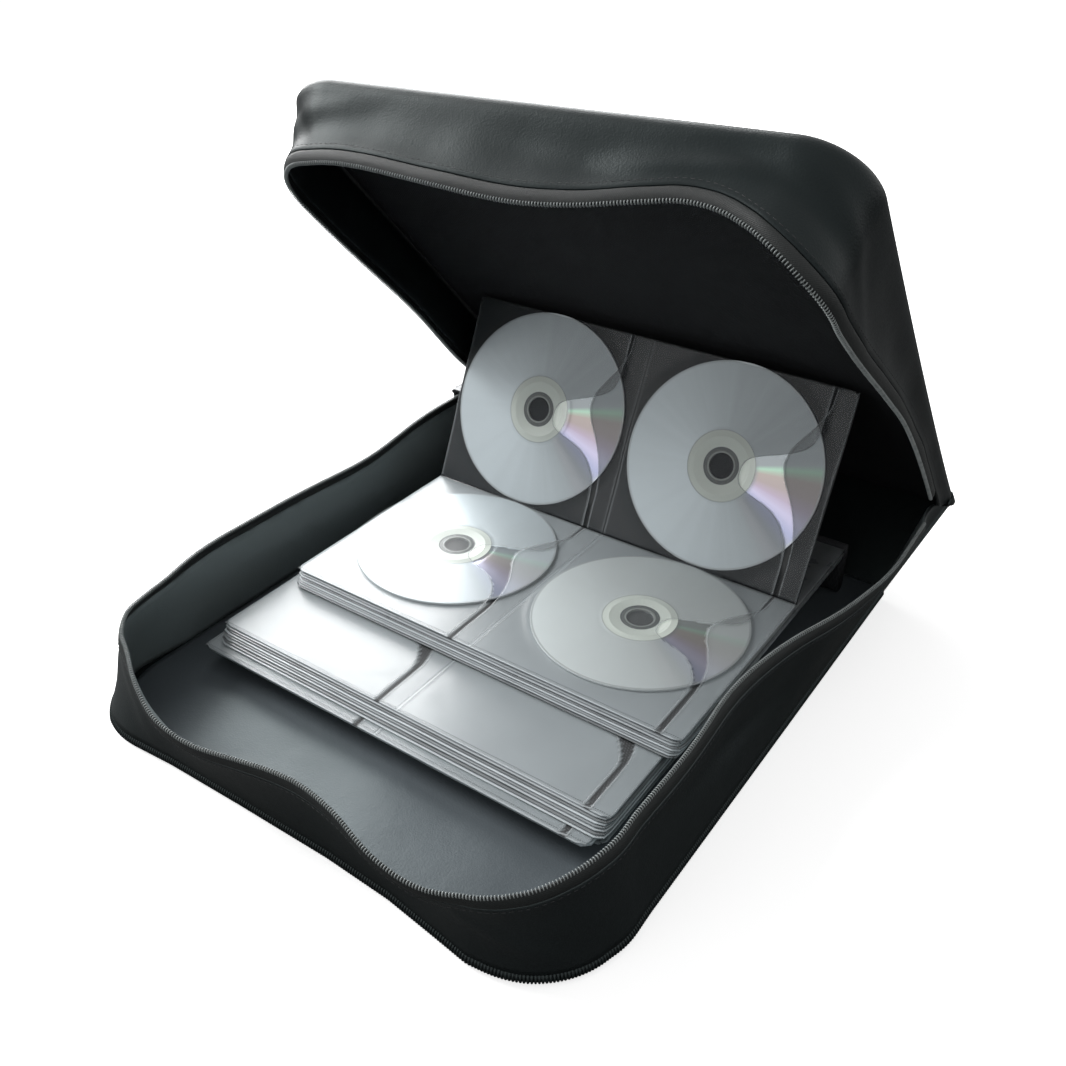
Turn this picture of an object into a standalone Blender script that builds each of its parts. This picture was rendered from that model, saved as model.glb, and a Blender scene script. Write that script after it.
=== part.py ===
"""Zip-round disc case: two soft trays on a leaning spine, leaves of film pockets, four discs."""

import math

import bmesh
import bpy
from mathutils import Euler, Vector

MM = 0.001
GAP = 0.4  # between pieces that touch

# Case outline, seen from above, in millimetres
CASE_HALF_WIDTH = 159.0
CASE_FRONT = -175.0
CASE_BACK = 175.0
BASE_CORNER = 45.0
PANEL_THICK = 5.4
PANEL_BEVEL = 1.5
PIPING_RADIUS = 2.3
PIPING_INSET = PIPING_RADIUS + 0.3
PANEL_INSET = 2 * PIPING_RADIUS + 0.3 + GAP
PIPING_HEIGHT = PIPING_RADIUS + 0.3
WALL_THICK = 2.2
WALL_INSET = PIPING_INSET - WALL_THICK / 2
WALL_FOOT = PIPING_HEIGHT + PIPING_RADIUS + GAP

# Spine and lid hinge
HINGE_Y = 236.7
HINGE_Z = 45.5
LID_ELEVATION = math.radians(46.5)
LID_LEFT = -146.0
LID_RIGHT = 176.0
LID_LENGTH = 360.0
LID_LEFT_CORNER = 45.0
LID_RIGHT_CORNER = 38.0
LID_DOME = 10.0
SPINE_THICK = 4.6

# Gussets: along the path from the back left round to the back right as a fraction of it,
# the wall's height and its outward lean in degrees
BASE_WALL = (
    (0.000, 54.0, -2.0),
    (0.110, 54.0, -2.0),
    (0.200, 55.0, 4.0),
    (0.270, 55.0, 2.0),
    (0.320, 55.0, -9.0),
    (0.365, 55.0, -2.0),
    (0.385, 55.0, 11.0),
    (0.407, 55.0, 24.0),
    (0.432, 55.0, 27.0),
    (0.464, 55.0, 23.0),
    (0.498, 55.0, 17.0),
    (0.535, 55.0, 17.0),
    (0.560, 55.0, 25.0),
    (0.581, 55.0, 31.0),
    (0.602, 55.0, 30.0),
    (0.618, 55.0, 24.0),
    (0.633, 55.0, 13.0),
    (0.650, 55.0, 6.0),
    (0.675, 55.0, -3.0),
    (0.740, 55.0, -2.0),
    (0.790, 55.0, -6.0),
    (0.830, 55.0, 0.0),
    (0.880, 55.0, 14.0),
    (0.930, 55.0, 21.0),
    (1.000, 53.0, 19.0),
)
LID_WALL = (
    (0.000, 20.0, 0.0),
    (0.060, 26.0, -8.0),
    (0.130, 44.0, -22.0),
    (0.200, 46.0, -28.0),
    (0.280, 47.0, -25.0),
    (0.318, 38.0, -16.0),
    (0.345, 34.0, -10.0),
    (0.385, 35.0, 0.0),
    (0.413, 36.0, 2.0),
    (0.455, 37.5, 2.0),
    (0.500, 40.0, 0.0),
    (0.556, 33.5, 0.0),
    (0.595, 25.0, 0.0),
    (0.612, 26.0, 0.0),
    (0.623, 31.0, 0.0),
    (0.637, 38.5, 2.0),
    (0.660, 46.0, 2.0),
    (0.710, 43.0, 6.0),
    (0.770, 32.0, 5.0),
    (0.834, 24.0, 5.0),
    (0.904, 20.0, 5.0),
    (0.944, 18.0, 3.0),
    (1.000, 18.0, 0.0),
)
LID_WALL_START = 16.0  # the lid's gusset begins this far from the hinge
LID_WALL_SPREAD = math.radians(32.0)  # its rim stays within this angle of the lid's outer face
BASE_WALL_BEYOND = 51.0  # the base's gusset runs on over the spine's sides
BASE_WALL_END = 3.5
SIDE_STEPS = 14
FRONT_STEPS = 14
ARC_STEPS = 8

# Zip
TAPE_THICK = 0.8
TAPE_OVERLAP = 9.0
TAPE_END = 6.0  # the base's tape and coil stop this far from the back
LID_TAPE_LEFT, LID_TAPE_RIGHT = 70.0, 56.0  # and the lid's this far from the hinge
TAPE_RISE = 5.0
COIL_RADIUS = 1.3
COIL_RISE = TAPE_RISE + GAP + COIL_RADIUS
SLIDER_LENGTH = 12.0
SLIDER_WIDTH = 7.6
SLIDER_HEIGHT = 7.4
SLIDER_FROM_BACK = 26.0
CHANNEL_CLEAR = 0.5
BRIDGE_LENGTH = 6.4
BRIDGE_REACH = 3.6
BRIDGE_BAR = 1.2
BRIDGE_WIDTH = 2.4
TAB_LENGTH = 24.0
TAB_WIDTH = 6.4
TAB_THICK = 1.3
TAB_WINDOW = 3.6
TAB_PIN = 1.5

# Linings and leaves
LINING_THICK = 0.8
LINING_INSET = 4.6
LID_LINING_INSET = 7.5
LEAF_PITCH = 126.75
LEAF_BACK = 150.0
LEAF_THICK = 1.25
LEAF_SLOT = 0.45
LOW_LEFT, LOW_FRONT, LOW_LEAVES = -130.0, -117.0, 11
MID_LEFT, MID_FRONT, MID_LEAVES = -125.0, -105.0, 8
TOP_LEFT, TOP_LEAVES = -117.5, 7
# How far each leaf's front edge lies behind its group's front, from the lowest leaf up
LOW_STEPS = (14.0, 14.5, 13.0, 13.6, 12.0, 12.6, 4.0, 2.2, 1.5, 0.6, 0.0)
MID_STEPS = (-6.0, -5.2, -4.0, -3.2, -2.4, -1.6, -0.8, 0.0)
TOP_STEPS = (-3.6, -3.0, -2.6, -2.0, -1.6, -1.2, -0.6)
SLOT_DEPTH = 5.0
ROW_DEPTH = 133.5  # a leaf's row of pockets, from its front edge to the fold
RAISED_ANGLE = math.radians(65.4)
RAISED_HEIGHT = 121.0
TIP_BELOW_LID = 4.6  # the raised row's edge, under the lid's flat outer plane
BINDING_DEPTH = 9.0

# Discs and pockets
DISC_RADIUS = 60.0
DISC_HOLE = 7.5
DISC_THICK = 1.2
DISC_STEPS = 48
DISC_ALONG = 62.3  # from the column's left edge
DISC_FORWARD = 61.5  # front discs' centres from the fold
DISC_UP = RAISED_HEIGHT / 2 + 1.0  # raised discs' centres from the fold
FILM_THICK = 0.35
FILM_EDGE = 3.0
FILM_MOUTH = 116.0
FILM_CORNER = 9.0
NOTCH_DEPTH = 17.0
NOTCH_HALF = 30.0


def clear_scene():
    for item in list(bpy.data.objects):
        bpy.data.objects.remove(item, do_unlink=True)


def collection_named(name, hidden=False):
    found = bpy.data.collections.new(name)
    bpy.context.scene.collection.children.link(found)
    found.hide_render = hidden
    return found


clear_scene()
CASE = collection_named("disc_case")
HELPERS = collection_named("disc_case_helpers", hidden=True)


def mesh_object(name, points, faces, home=CASE):
    """A closed mesh from millimetre points, with its faces turned outwards."""
    mesh = bpy.data.meshes.new(name)
    mesh.from_pydata([Vector(p) * MM for p in points], [], faces)
    work = bmesh.new()
    work.from_mesh(mesh)
    bmesh.ops.recalc_face_normals(work, faces=work.faces)
    work.to_mesh(mesh)
    work.free()
    made = bpy.data.objects.new(name, mesh)
    home.objects.link(made)
    return made


def curve_object(name, points, closed, home=CASE):
    data = bpy.data.curves.new(name, "CURVE")
    line = data.splines.new("POLY")
    line.points.add(len(points) - 1)
    for spot, point in zip(line.points, points):
        spot.co = (*(Vector(point) * MM), 1.0)
    line.use_cyclic_u = closed
    made = bpy.data.objects.new(name, data)
    home.objects.link(made)
    return made


def plate(name, outline, bottom, thick, bevel=0.0, home=CASE):
    """A flat plate from an outline seen from above."""
    made = curve_object(name, [(x, y, 0.0) for x, y in outline], True, home)
    made.data.dimensions = "2D"
    made.data.fill_mode = "BOTH"
    made.data.extrude = (thick / 2 - bevel) * MM
    made.data.bevel_depth = bevel * MM
    made.data.bevel_resolution = 1
    made.data.offset = -bevel * MM
    made.location.z = (bottom + thick / 2) * MM
    return made


def tube(name, points, radius, closed=False, sides=2):
    """A round cord through points."""
    made = curve_object(name, points, closed)
    made.data.dimensions = "3D"
    made.data.bevel_depth = radius * MM
    made.data.bevel_resolution = sides
    made.data.use_fill_caps = not closed
    return made


def on_lid(made):
    """Turn a piece that was drawn with the lid level and its hinge at the origin."""
    made.location = (0.0, HINGE_Y * MM, HINGE_Z * MM)
    made.rotation_euler = Euler((-LID_ELEVATION, 0.0, 0.0))
    return made


def boolean(made, cutter, operation):
    cutter.hide_render = True
    cutter.display_type = "WIRE"
    step = made.modifiers.new(operation.title(), "BOOLEAN")
    step.operation = operation
    step.solver = "EXACT"
    step.object = cutter


class Outline:
    """A tray's outline from its back left corner round the front to its back right corner."""

    def __init__(self, left, right, front, back, left_corner, right_corner):
        self.left, self.right, self.front, self.back = left, right, front, back
        self.left_corner, self.right_corner = left_corner, right_corner
        self.side_left = back - front - left_corner
        self.side_right = back - front - right_corner
        self.arc_left = math.pi / 2 * left_corner
        self.arc_right = math.pi / 2 * right_corner
        self.across = right - left - left_corner - right_corner
        self.length = self.side_left + self.arc_left + self.across + self.arc_right + self.side_right

    def inset(self, by, back=0.0):
        return Outline(self.left + by, self.right - by, self.front + by, self.back - back,
                       self.left_corner - by, self.right_corner - by)

    def at(self, s):
        """Point and outward direction at a distance along the outline."""
        if s < self.side_left:
            return Vector((self.left, self.back - s)), Vector((-1.0, 0.0))
        s -= self.side_left
        if s < self.arc_left:
            turn = math.pi + s / self.left_corner
            out = Vector((math.cos(turn), math.sin(turn)))
            middle = Vector((self.left + self.left_corner, self.front + self.left_corner))
            return middle + out * self.left_corner, out
        s -= self.arc_left
        if s < self.across:
            return Vector((self.left + self.left_corner + s, self.front)), Vector((0.0, -1.0))
        s -= self.across
        if s < self.arc_right:
            turn = 1.5 * math.pi + s / self.right_corner
            out = Vector((math.cos(turn), math.sin(turn)))
            middle = Vector((self.right - self.right_corner, self.front + self.right_corner))
            return middle + out * self.right_corner, out
        s -= self.arc_right
        return Vector((self.right, self.front + self.right_corner + s)), Vector((1.0, 0.0))

    def stations(self, start=0.0, end=None):
        """Distances close enough to follow the corners and the wave of the rim."""
        end = self.length if end is None else end
        marks = [0.0]
        for run, steps in ((self.side_left, SIDE_STEPS), (self.arc_left, ARC_STEPS), (self.across, FRONT_STEPS),
                           (self.arc_right, ARC_STEPS), (self.side_right, SIDE_STEPS)):
            first = marks[-1]
            marks += [first + run * (i + 1) / steps for i in range(steps)]
        return [start] + [s for s in marks if start + 2.0 < s < end - 2.0] + [end]

    def ring(self):
        return [self.at(s)[0] for s in self.stations()]


def eased(table, where):
    """A value between the rows of a table, level at each row where its neighbours are on one side."""
    for (a, *first), (b, *last) in zip(table, table[1:]):
        if where <= b:
            t = min(max((where - a) / (b - a), 0.0), 1.0)
            t = t * t * (3 - 2 * t) * 0.5 + t * 0.5
            return [p + (q - p) * t for p, q in zip(first, last)]
    return list(table[-1][1:])


class Wall:
    """A gusset wall that stands on an outline and leans by its table. up is 1 or -1."""

    def __init__(self, outline, table, foot, up):
        self.outline, self.table, self.foot, self.up = outline, table, foot, up

    def frame(self, s):
        point, out = self.outline.at(s)
        height, lean = eased(self.table, s / self.outline.length)
        return point, out, height, math.radians(lean)

    def floor(self, s):
        """Height of the wall's foot."""
        return self.foot

    def place(self, s, along, inward=0.0):
        """The point at a distance up the wall and a distance in from its outer face."""
        point, out, _, lean = self.frame(s)
        side = along * math.sin(lean) - inward * math.cos(lean)
        rise = along * math.cos(lean) + inward * math.sin(lean)
        if along == 0.0:
            side, rise = -inward, 0.0
        flat = point + out * side
        return Vector((flat.x, flat.y, self.floor(s) + self.up * rise))

    def band(self, name, stations, levels, inward, thick):
        """A closed strip through the same levels up the wall on both faces."""
        points = []
        for s in stations:
            steps = levels(s)
            for depth in (inward, inward + thick):
                points += [self.place(s, along, depth) for along in steps]
        rows = len(points) // len(stations) // 2
        faces = []
        for k in range(len(stations) - 1):
            here, there = 2 * rows * k, 2 * rows * (k + 1)
            for side in (0, rows):
                for r in range(side, side + rows - 1):
                    faces.append([here + r, here + r + 1, there + r + 1])
                    faces.append([here + r, there + r + 1, there + r])
            for low, high in ((0, rows), (rows - 1, 2 * rows - 1)):
                faces.append([here + low, here + high, there + high, there + low])
        for end in (0, 2 * rows * (len(stations) - 1)):
            faces += [[end + r, end + r + 1, end + rows + r + 1, end + rows + r] for r in range(rows - 1)]
        return mesh_object(name, points, faces)


# Spine's direction, and the heights of its inner face
spine_run = Vector((HINGE_Y - CASE_BACK - GAP, HINGE_Z - 0.3))
spine_along = spine_run.normalized()
spine_in = Vector((-spine_along.y, spine_along.x))
inner_angle = LID_ELEVATION + math.atan2(spine_along.y, spine_along.x)
mitre_run = SPINE_THICK / math.tan(inner_angle / 2)
SPINE_RISE = spine_along.y / spine_along.x
SPINE_FOOT = 0.3 + SPINE_THICK / spine_along.x


class BaseWall(Wall):
    """The base's gusset, which runs on behind both ends of its outline and climbs the spine's sides."""

    def beyond(self, s):
        return max(0.0, -s, s - self.outline.length)

    def frame(self, s):
        past = self.beyond(s)
        point, out, height, lean = super().frame(min(max(s, 0.0), self.outline.length))
        if past:
            part = past / (HINGE_Y - CASE_BACK)
            edge = (LID_LEFT if s < 0 else LID_RIGHT) - out.x * WALL_INSET
            point = Vector((point.x + (edge - point.x) * part, point.y + past))
            part = past / BASE_WALL_BEYOND
            height += (BASE_WALL_END - height) * part
            lean *= 1.0 - part
        return point, out, height, lean

    def floor(self, s):
        past = self.beyond(s)
        if past < 0.5:
            return self.foot
        return SPINE_FOOT + past * SPINE_RISE + GAP


def domed_panel(name, outline, bottom, thick, dome, rings=5, mitre=0.0):
    """A padded panel with an even arch, high in the middle. mitre draws in the inner face's back edge."""
    edge = outline.ring()
    middle = Vector(((outline.left + outline.right) / 2, (outline.front + outline.back) / 2))
    half = Vector(((outline.right - outline.left) / 2, (outline.back - outline.front) / 2))

    def arch(point):
        across, along = (point.x - middle.x) / half.x, (point.y - middle.y) / half.y
        return dome * max(0.0, 1 - across**4) * max(0.0, 1 - along**4)

    points, count = [], len(edge)
    for low in (True, False):
        for k in range(rings):
            part = 1.0 - (k / rings) ** 1.4
            for point in edge:
                spot = middle + (point - middle) * part
                if low and k == 0 and point.y > outline.back - 0.01:
                    spot.y -= mitre
                points.append((spot.x, spot.y, bottom + arch(spot) + (0.0 if low else thick)))
        points.append((middle.x, middle.y, bottom + dome + (0.0 if low else thick)))
    layer = rings * count + 1
    faces = []
    for base in (0, layer):
        for k in range(rings - 1):
            for i in range(count):
                j = (i + 1) % count
                faces.append([base + k * count + i, base + k * count + j,
                              base + (k + 1) * count + j, base + (k + 1) * count + i])
        inner = base + (rings - 1) * count
        faces += [[inner + i, inner + (i + 1) % count, base + layer - 1] for i in range(count)]
    faces += [[i, (i + 1) % count, layer + (i + 1) % count, layer + i] for i in range(count)]
    return mesh_object(name, points, faces)


# Base tray
case_outline = Outline(-CASE_HALF_WIDTH, CASE_HALF_WIDTH, CASE_FRONT, CASE_BACK, BASE_CORNER, BASE_CORNER)
plate("base_panel", case_outline.inset(PANEL_INSET, GAP).ring(), 0.0, PANEL_THICK, PANEL_BEVEL)
piping_path = case_outline.inset(PIPING_INSET, 1.0)
tube("base_piping", [(*piping_path.at(s)[0], PIPING_HEIGHT) for s in piping_path.stations()], PIPING_RADIUS)
plate("base_lining", case_outline.inset(LINING_INSET, LINING_INSET).ring(), PANEL_THICK + GAP, LINING_THICK)
LINING_TOP = PANEL_THICK + GAP + LINING_THICK

base_path = case_outline.inset(WALL_INSET)
base_wall = BaseWall(base_path, BASE_WALL, WALL_FOOT, 1)
beyond = [1.0] + [BASE_WALL_BEYOND * (i + 1) / 4 for i in range(4)]
marks = [-past for past in reversed(beyond)] + base_path.stations() + [base_path.length + past for past in beyond]


def base_rim(s):
    return base_wall.frame(s)[2]


def tape_low(height):
    return max(height - TAPE_OVERLAP, 0.3 * height)


def wall_levels(rim):
    """Levels of a gusset from its foot to its rim, one of them where the zip tape begins."""
    return lambda s: (0.0, tape_low(rim(s)) / 2, tape_low(rim(s)), rim(s))


def tape_levels(rim):
    return lambda s: (tape_low(rim(s)), rim(s), rim(s) + TAPE_RISE)


base_wall.band("base_gusset", marks, wall_levels(base_rim), 0.0, WALL_THICK)
tape_marks = base_path.stations(TAPE_END, base_path.length - TAPE_END)
base_wall.band("base_zip_tape", tape_marks, tape_levels(base_rim), WALL_THICK + GAP, TAPE_THICK)
COIL_DEPTH = WALL_THICK + GAP + TAPE_THICK / 2
tube("base_zip_coil", [base_wall.place(s, base_rim(s) + COIL_RISE, COIL_DEPTH) for s in tape_marks],
     COIL_RADIUS, sides=1)

# Spine: from the back edge of the floor up to the lid's hinge, mitred against both
spine_low = Vector((CASE_BACK + GAP, 0.3))
spine_top = Vector((HINGE_Y, HINGE_Z)) - spine_along * 0.6
spine_points = []
for side in (-1, 1):
    low_x = side * (CASE_HALF_WIDTH - 2.0)
    top_x = LID_LEFT + 2.0 if side < 0 else LID_RIGHT - 2.0
    inner_top = spine_top + spine_in * SPINE_THICK - spine_along * mitre_run
    inner_low = spine_low + Vector((0.0, SPINE_THICK / spine_along.x))
    spine_points += [(low_x, *spine_low), (top_x, *spine_top), (top_x, *inner_top), (low_x, *inner_low)]
mesh_object("spine_panel", spine_points, [[0, 1, 2, 3], [4, 5, 6, 7], [0, 1, 5, 4], [1, 2, 6, 5], [2, 3, 7, 6],
                                          [3, 0, 4, 7]])

# Leaves: each group is a stack whose front edges step back a little, welded to one block behind


def leaf_stack(name, left, front, leaves, bottom, steps):
    profile = [(LEAF_BACK, bottom)]
    for i in range(leaves):
        low = bottom + i * LEAF_THICK
        edge = front + steps[i % len(steps)]
        thick = LEAF_THICK - LEAF_SLOT
        if i:
            profile += [(edge + SLOT_DEPTH, low), (edge, low)]
        else:
            profile += [(edge, low)]
        profile += [(edge, low + thick)]
        if i < leaves - 1:
            profile += [(edge + SLOT_DEPTH, low + thick)]
    top = bottom + leaves * LEAF_THICK - LEAF_SLOT
    profile.append((LEAF_BACK, top))
    width = 2 * LEAF_PITCH
    count = len(profile)
    points = [(left + x, y, z) for x in (0.0, width) for y, z in profile]
    faces = [list(range(count)), list(range(count, 2 * count))]
    faces += [[i, (i + 1) % count, count + (i + 1) % count, count + i] for i in range(count)]
    mesh_object(name, points, faces)
    return top


low_top = leaf_stack("leaves_low", LOW_LEFT, LOW_FRONT, LOW_LEAVES, LINING_TOP + GAP, LOW_STEPS)
mid_top = leaf_stack("leaves_mid", MID_LEFT, MID_FRONT, MID_LEAVES, low_top + GAP, MID_STEPS)
film_mid_bottom = mid_top + GAP
stack_bottom = film_mid_bottom + FILM_THICK + GAP
leaf_bottom = stack_bottom + TOP_LEAVES * LEAF_THICK - LEAF_SLOT + GAP
fold_z = leaf_bottom + LEAF_THICK

# The fold lies where the raised row's edge just clears the lid
up = Vector((math.cos(RAISED_ANGLE), math.sin(RAISED_ANGLE)))
tip_z = fold_z + up.y * RAISED_HEIGHT
tip_y = HINGE_Y - (TIP_BELOW_LID + (tip_z - HINGE_Z) * math.cos(LID_ELEVATION)) / math.sin(LID_ELEVATION)
fold_y = tip_y - up.x * RAISED_HEIGHT
top_front = fold_y - ROW_DEPTH
top_top = leaf_stack("leaves_top", TOP_LEFT, top_front, TOP_LEAVES, stack_bottom, TOP_STEPS)

# The top leaf: its front row lies on the stack and its back row stands up at the fold
behind = Vector((up.y, -up.x))
fold = Vector((fold_y, fold_z))
tip = fold + up * RAISED_HEIGHT
bend = fold + behind * LEAF_THICK
bend += up * ((leaf_bottom - bend.y) / up.y)
raised_profile = [(top_front, leaf_bottom), tuple(bend), tuple(tip + behind * LEAF_THICK), tuple(tip),
                  tuple(fold), (top_front, fold_z)]
raised_points = [(TOP_LEFT + x, y, z) for x in (0.0, 2 * LEAF_PITCH) for y, z in raised_profile]
raised_faces = [[0, 1, 4, 5], [1, 2, 3, 4], [11, 10, 7, 6], [10, 9, 8, 7]]
raised_faces += [[i, (i + 1) % 6, 6 + (i + 1) % 6, 6 + i] for i in range(6)]
mesh_object("leaf_raised", raised_points, raised_faces)

# The binding holds the three groups behind
plate("leaf_binding", [(LOW_LEFT, LEAF_BACK + GAP), (TOP_LEFT + 2 * LEAF_PITCH, LEAF_BACK + GAP),
                       (TOP_LEFT + 2 * LEAF_PITCH, LEAF_BACK + GAP + BINDING_DEPTH),
                       (LOW_LEFT, LEAF_BACK + GAP + BINDING_DEPTH)], LINING_TOP + GAP, top_top - LINING_TOP - GAP)

# Discs and clear pockets. flip is -1 for a row that runs forwards from the fold and 1 for the raised row
disc_bottom = fold_z + GAP
film_bottom = disc_bottom + DISC_THICK + GAP


def pocket_outline(left, near, far):
    """Outline of a pocket's film: a straight left side and a mouth on the right with a thumb notch."""
    mouth = left + FILM_MOUTH
    middle = (near + far) / 2
    outline = [(left + FILM_EDGE, near), (mouth - FILM_CORNER, near)]
    for i in range(1, 4):
        turn = i / 4 * math.pi / 2
        outline.append((mouth - FILM_CORNER + FILM_CORNER * math.sin(turn),
                        near + FILM_CORNER * (1 - math.cos(turn))))
    for i in range(-8, 9):
        y = middle + NOTCH_HALF * i / 8
        outline.append((mouth - NOTCH_DEPTH * math.cos(i / 8 * math.pi / 2) ** 2, y))
    for i in range(1, 4):
        turn = i / 4 * math.pi / 2
        outline.append((mouth - FILM_CORNER + FILM_CORNER * math.cos(turn),
                        far - FILM_CORNER * (1 - math.sin(turn))))
    return outline + [(mouth - FILM_CORNER, far), (left + FILM_EDGE, far)]


def disc(name, x, y, z):
    """A disc turned from its section, with its hole."""
    made = mesh_object(name, [(DISC_HOLE, 0, DISC_THICK), (DISC_RADIUS, 0, DISC_THICK), (DISC_RADIUS, 0, 0),
                              (DISC_HOLE, 0, 0)], [])
    made.data.edges.add(4)
    for i in range(4):
        made.data.edges[i].vertices = (i, (i + 1) % 4)
    turn = made.modifiers.new("Turn", "SCREW")
    turn.steps = turn.render_steps = DISC_STEPS
    turn.use_merge_vertices = True
    turn.merge_threshold = 0.00001
    turn.use_normal_calculate = False
    made.location = (x * MM, y * MM, z * MM)
    return made


for column, side in enumerate(("left", "right")):
    start = column * LEAF_PITCH
    left = TOP_LEFT + start
    disc(f"disc_front_{side}", left + DISC_ALONG, fold_y - DISC_FORWARD, disc_bottom)
    plate(f"film_front_{side}", pocket_outline(left, top_front + FILM_EDGE, fold_y - FILM_EDGE),
          film_bottom, FILM_THICK)
    back = disc(f"disc_back_{side}", left + DISC_ALONG, 0.0, 0.0)
    lean = Vector((0.0, math.cos(RAISED_ANGLE), math.sin(RAISED_ANGLE)))
    face = Vector((0.0, -math.sin(RAISED_ANGLE), math.cos(RAISED_ANGLE)))
    origin = Vector((0.0, fold_y, fold_z))
    seat = origin + lean * DISC_UP + face * GAP + Vector((left + DISC_ALONG, 0.0, 0.0))
    back.location = seat * MM
    back.rotation_euler = Euler((RAISED_ANGLE, 0.0, 0.0))
    sheet = plate(f"film_back_{side}", pocket_outline(left, FILM_EDGE, RAISED_HEIGHT - 1.0), 0.0, FILM_THICK)
    sheet.location = (origin + face * (2 * GAP + DISC_THICK + FILM_THICK / 2)) * MM
    sheet.rotation_euler = Euler((RAISED_ANGLE, 0.0, 0.0))
    mid = MID_LEFT + start
    plate(f"film_mid_{side}", pocket_outline(mid, MID_FRONT + FILM_EDGE, MID_FRONT + ROW_DEPTH - FILM_EDGE),
          film_mid_bottom, FILM_THICK)

# Lid tray, drawn level with its hinge at the origin and its outer face up
lid_outline = Outline(LID_LEFT, LID_RIGHT, -LID_LENGTH, -0.6, LID_LEFT_CORNER, LID_RIGHT_CORNER)
lid_mitre = PANEL_THICK / math.tan(inner_angle / 2)
on_lid(domed_panel("lid_panel", lid_outline.inset(PANEL_INSET), -PANEL_THICK, PANEL_THICK, LID_DOME,
                   mitre=lid_mitre))
lid_piping = lid_outline.inset(PIPING_INSET, LID_WALL_START - 6.0)
on_lid(tube("lid_piping", [(*lid_piping.at(s)[0], -PIPING_HEIGHT) for s in lid_piping.stations()],
            PIPING_RADIUS))
lining = lid_outline.inset(LID_LINING_INSET, LID_LINING_INSET + lid_mitre)
on_lid(domed_panel("lid_lining", lining, -PANEL_THICK - GAP - LINING_THICK, LINING_THICK, LID_DOME))
lid_path = lid_outline.inset(WALL_INSET)
lid_wall = Wall(lid_path, LID_WALL, -WALL_FOOT, -1)
lid_marks = lid_path.stations(LID_WALL_START, lid_path.length - LID_WALL_START)


def lid_rim(s):
    from_hinge = min(s, lid_path.length - s)
    return min(lid_wall.frame(s)[2], from_hinge * math.tan(LID_WALL_SPREAD)) - WALL_FOOT


on_lid(lid_wall.band("lid_gusset", lid_marks, wall_levels(lid_rim), 0.0, WALL_THICK))
lid_tape_marks = lid_path.stations(LID_TAPE_LEFT, lid_path.length - LID_TAPE_RIGHT)
on_lid(lid_wall.band("lid_zip_tape", lid_tape_marks, tape_levels(lid_rim), WALL_THICK + GAP, TAPE_THICK))
on_lid(tube("lid_zip_coil", [lid_wall.place(s, lid_rim(s) + COIL_RISE, COIL_DEPTH) for s in lid_tape_marks],
            COIL_RADIUS, sides=1))

# Zip slider on the base coil at its left end, and the pull tab through the slider's bridge
slider_s = SLIDER_FROM_BACK
seat = base_wall.place(slider_s, base_rim(slider_s) + COIL_RISE, COIL_DEPTH)


def block(name, low, high, home=CASE):
    x0, y0, z0 = low
    x1, y1, z1 = high
    points = [(x, y, z) for x in (x0, x1) for y in (y0, y1) for z in (z0, z1)]
    faces = [[0, 1, 3, 2], [4, 5, 7, 6], [0, 1, 5, 4], [2, 3, 7, 6], [0, 2, 6, 4], [1, 3, 7, 5]]
    return mesh_object(name, points, faces, home)


half_y, half_x = SLIDER_LENGTH / 2, SLIDER_WIDTH / 2
slider = block("zip_slider", (seat.x - half_x, seat.y - half_y, seat.z - SLIDER_HEIGHT / 2),
               (seat.x + half_x, seat.y + half_y, seat.z + SLIDER_HEIGHT / 2))
channel = COIL_RADIUS + CHANNEL_CLEAR
hollow = block("slider_hollow", (seat.x - channel, seat.y - half_y - 1, seat.z - channel),
               (seat.x + channel, seat.y + half_y + 1, seat.z + channel), HELPERS)
slot = TAPE_THICK / 2 + CHANNEL_CLEAR
slit = block("slider_slit", (seat.x - slot, seat.y - half_y - 1, seat.z - SLIDER_HEIGHT),
             (seat.x + slot, seat.y + half_y + 1, seat.z), HELPERS)
wall_x = seat.x - half_x
half_bridge, half_bar = BRIDGE_LENGTH / 2, BRIDGE_WIDTH / 2
bridge = block("slider_bridge", (wall_x - BRIDGE_REACH, seat.y - half_bridge, seat.z - half_bar),
               (wall_x + 1.0, seat.y + half_bridge, seat.z + half_bar), HELPERS)
gate = block("slider_gate", (wall_x - BRIDGE_REACH + BRIDGE_BAR, seat.y - half_bridge + BRIDGE_BAR,
                             seat.z - half_bar - 1), (wall_x, seat.y + half_bridge - BRIDGE_BAR,
                                                      seat.z + half_bar + 1), HELPERS)
boolean(slider, hollow, "DIFFERENCE")
boolean(slider, slit, "DIFFERENCE")
boolean(slider, bridge, "UNION")
boolean(slider, gate, "DIFFERENCE")

gate_x = (wall_x - BRIDGE_REACH + BRIDGE_BAR + wall_x) / 2
tab = block("pull_tab", (gate_x - TAB_THICK / 2, seat.y - TAB_PIN / 2, seat.z - TAB_WIDTH / 2),
            (gate_x + TAB_THICK / 2, seat.y + TAB_LENGTH, seat.z + TAB_WIDTH / 2))
window = block("tab_window", (gate_x - 3, seat.y + TAB_PIN / 2, seat.z - TAB_WINDOW / 2),
               (gate_x + 3, seat.y + TAB_PIN / 2 + 6.0, seat.z + TAB_WINDOW / 2), HELPERS)
boolean(tab, window, "DIFFERENCE")
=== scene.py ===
"""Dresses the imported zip-round disc case: soft trays, zip, pocket leaves and discs."""

import logging
import math
from collections.abc import Callable, Iterator, Sequence
from contextlib import contextmanager
from dataclasses import dataclass, replace
from enum import Enum
from typing import NamedTuple

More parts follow.
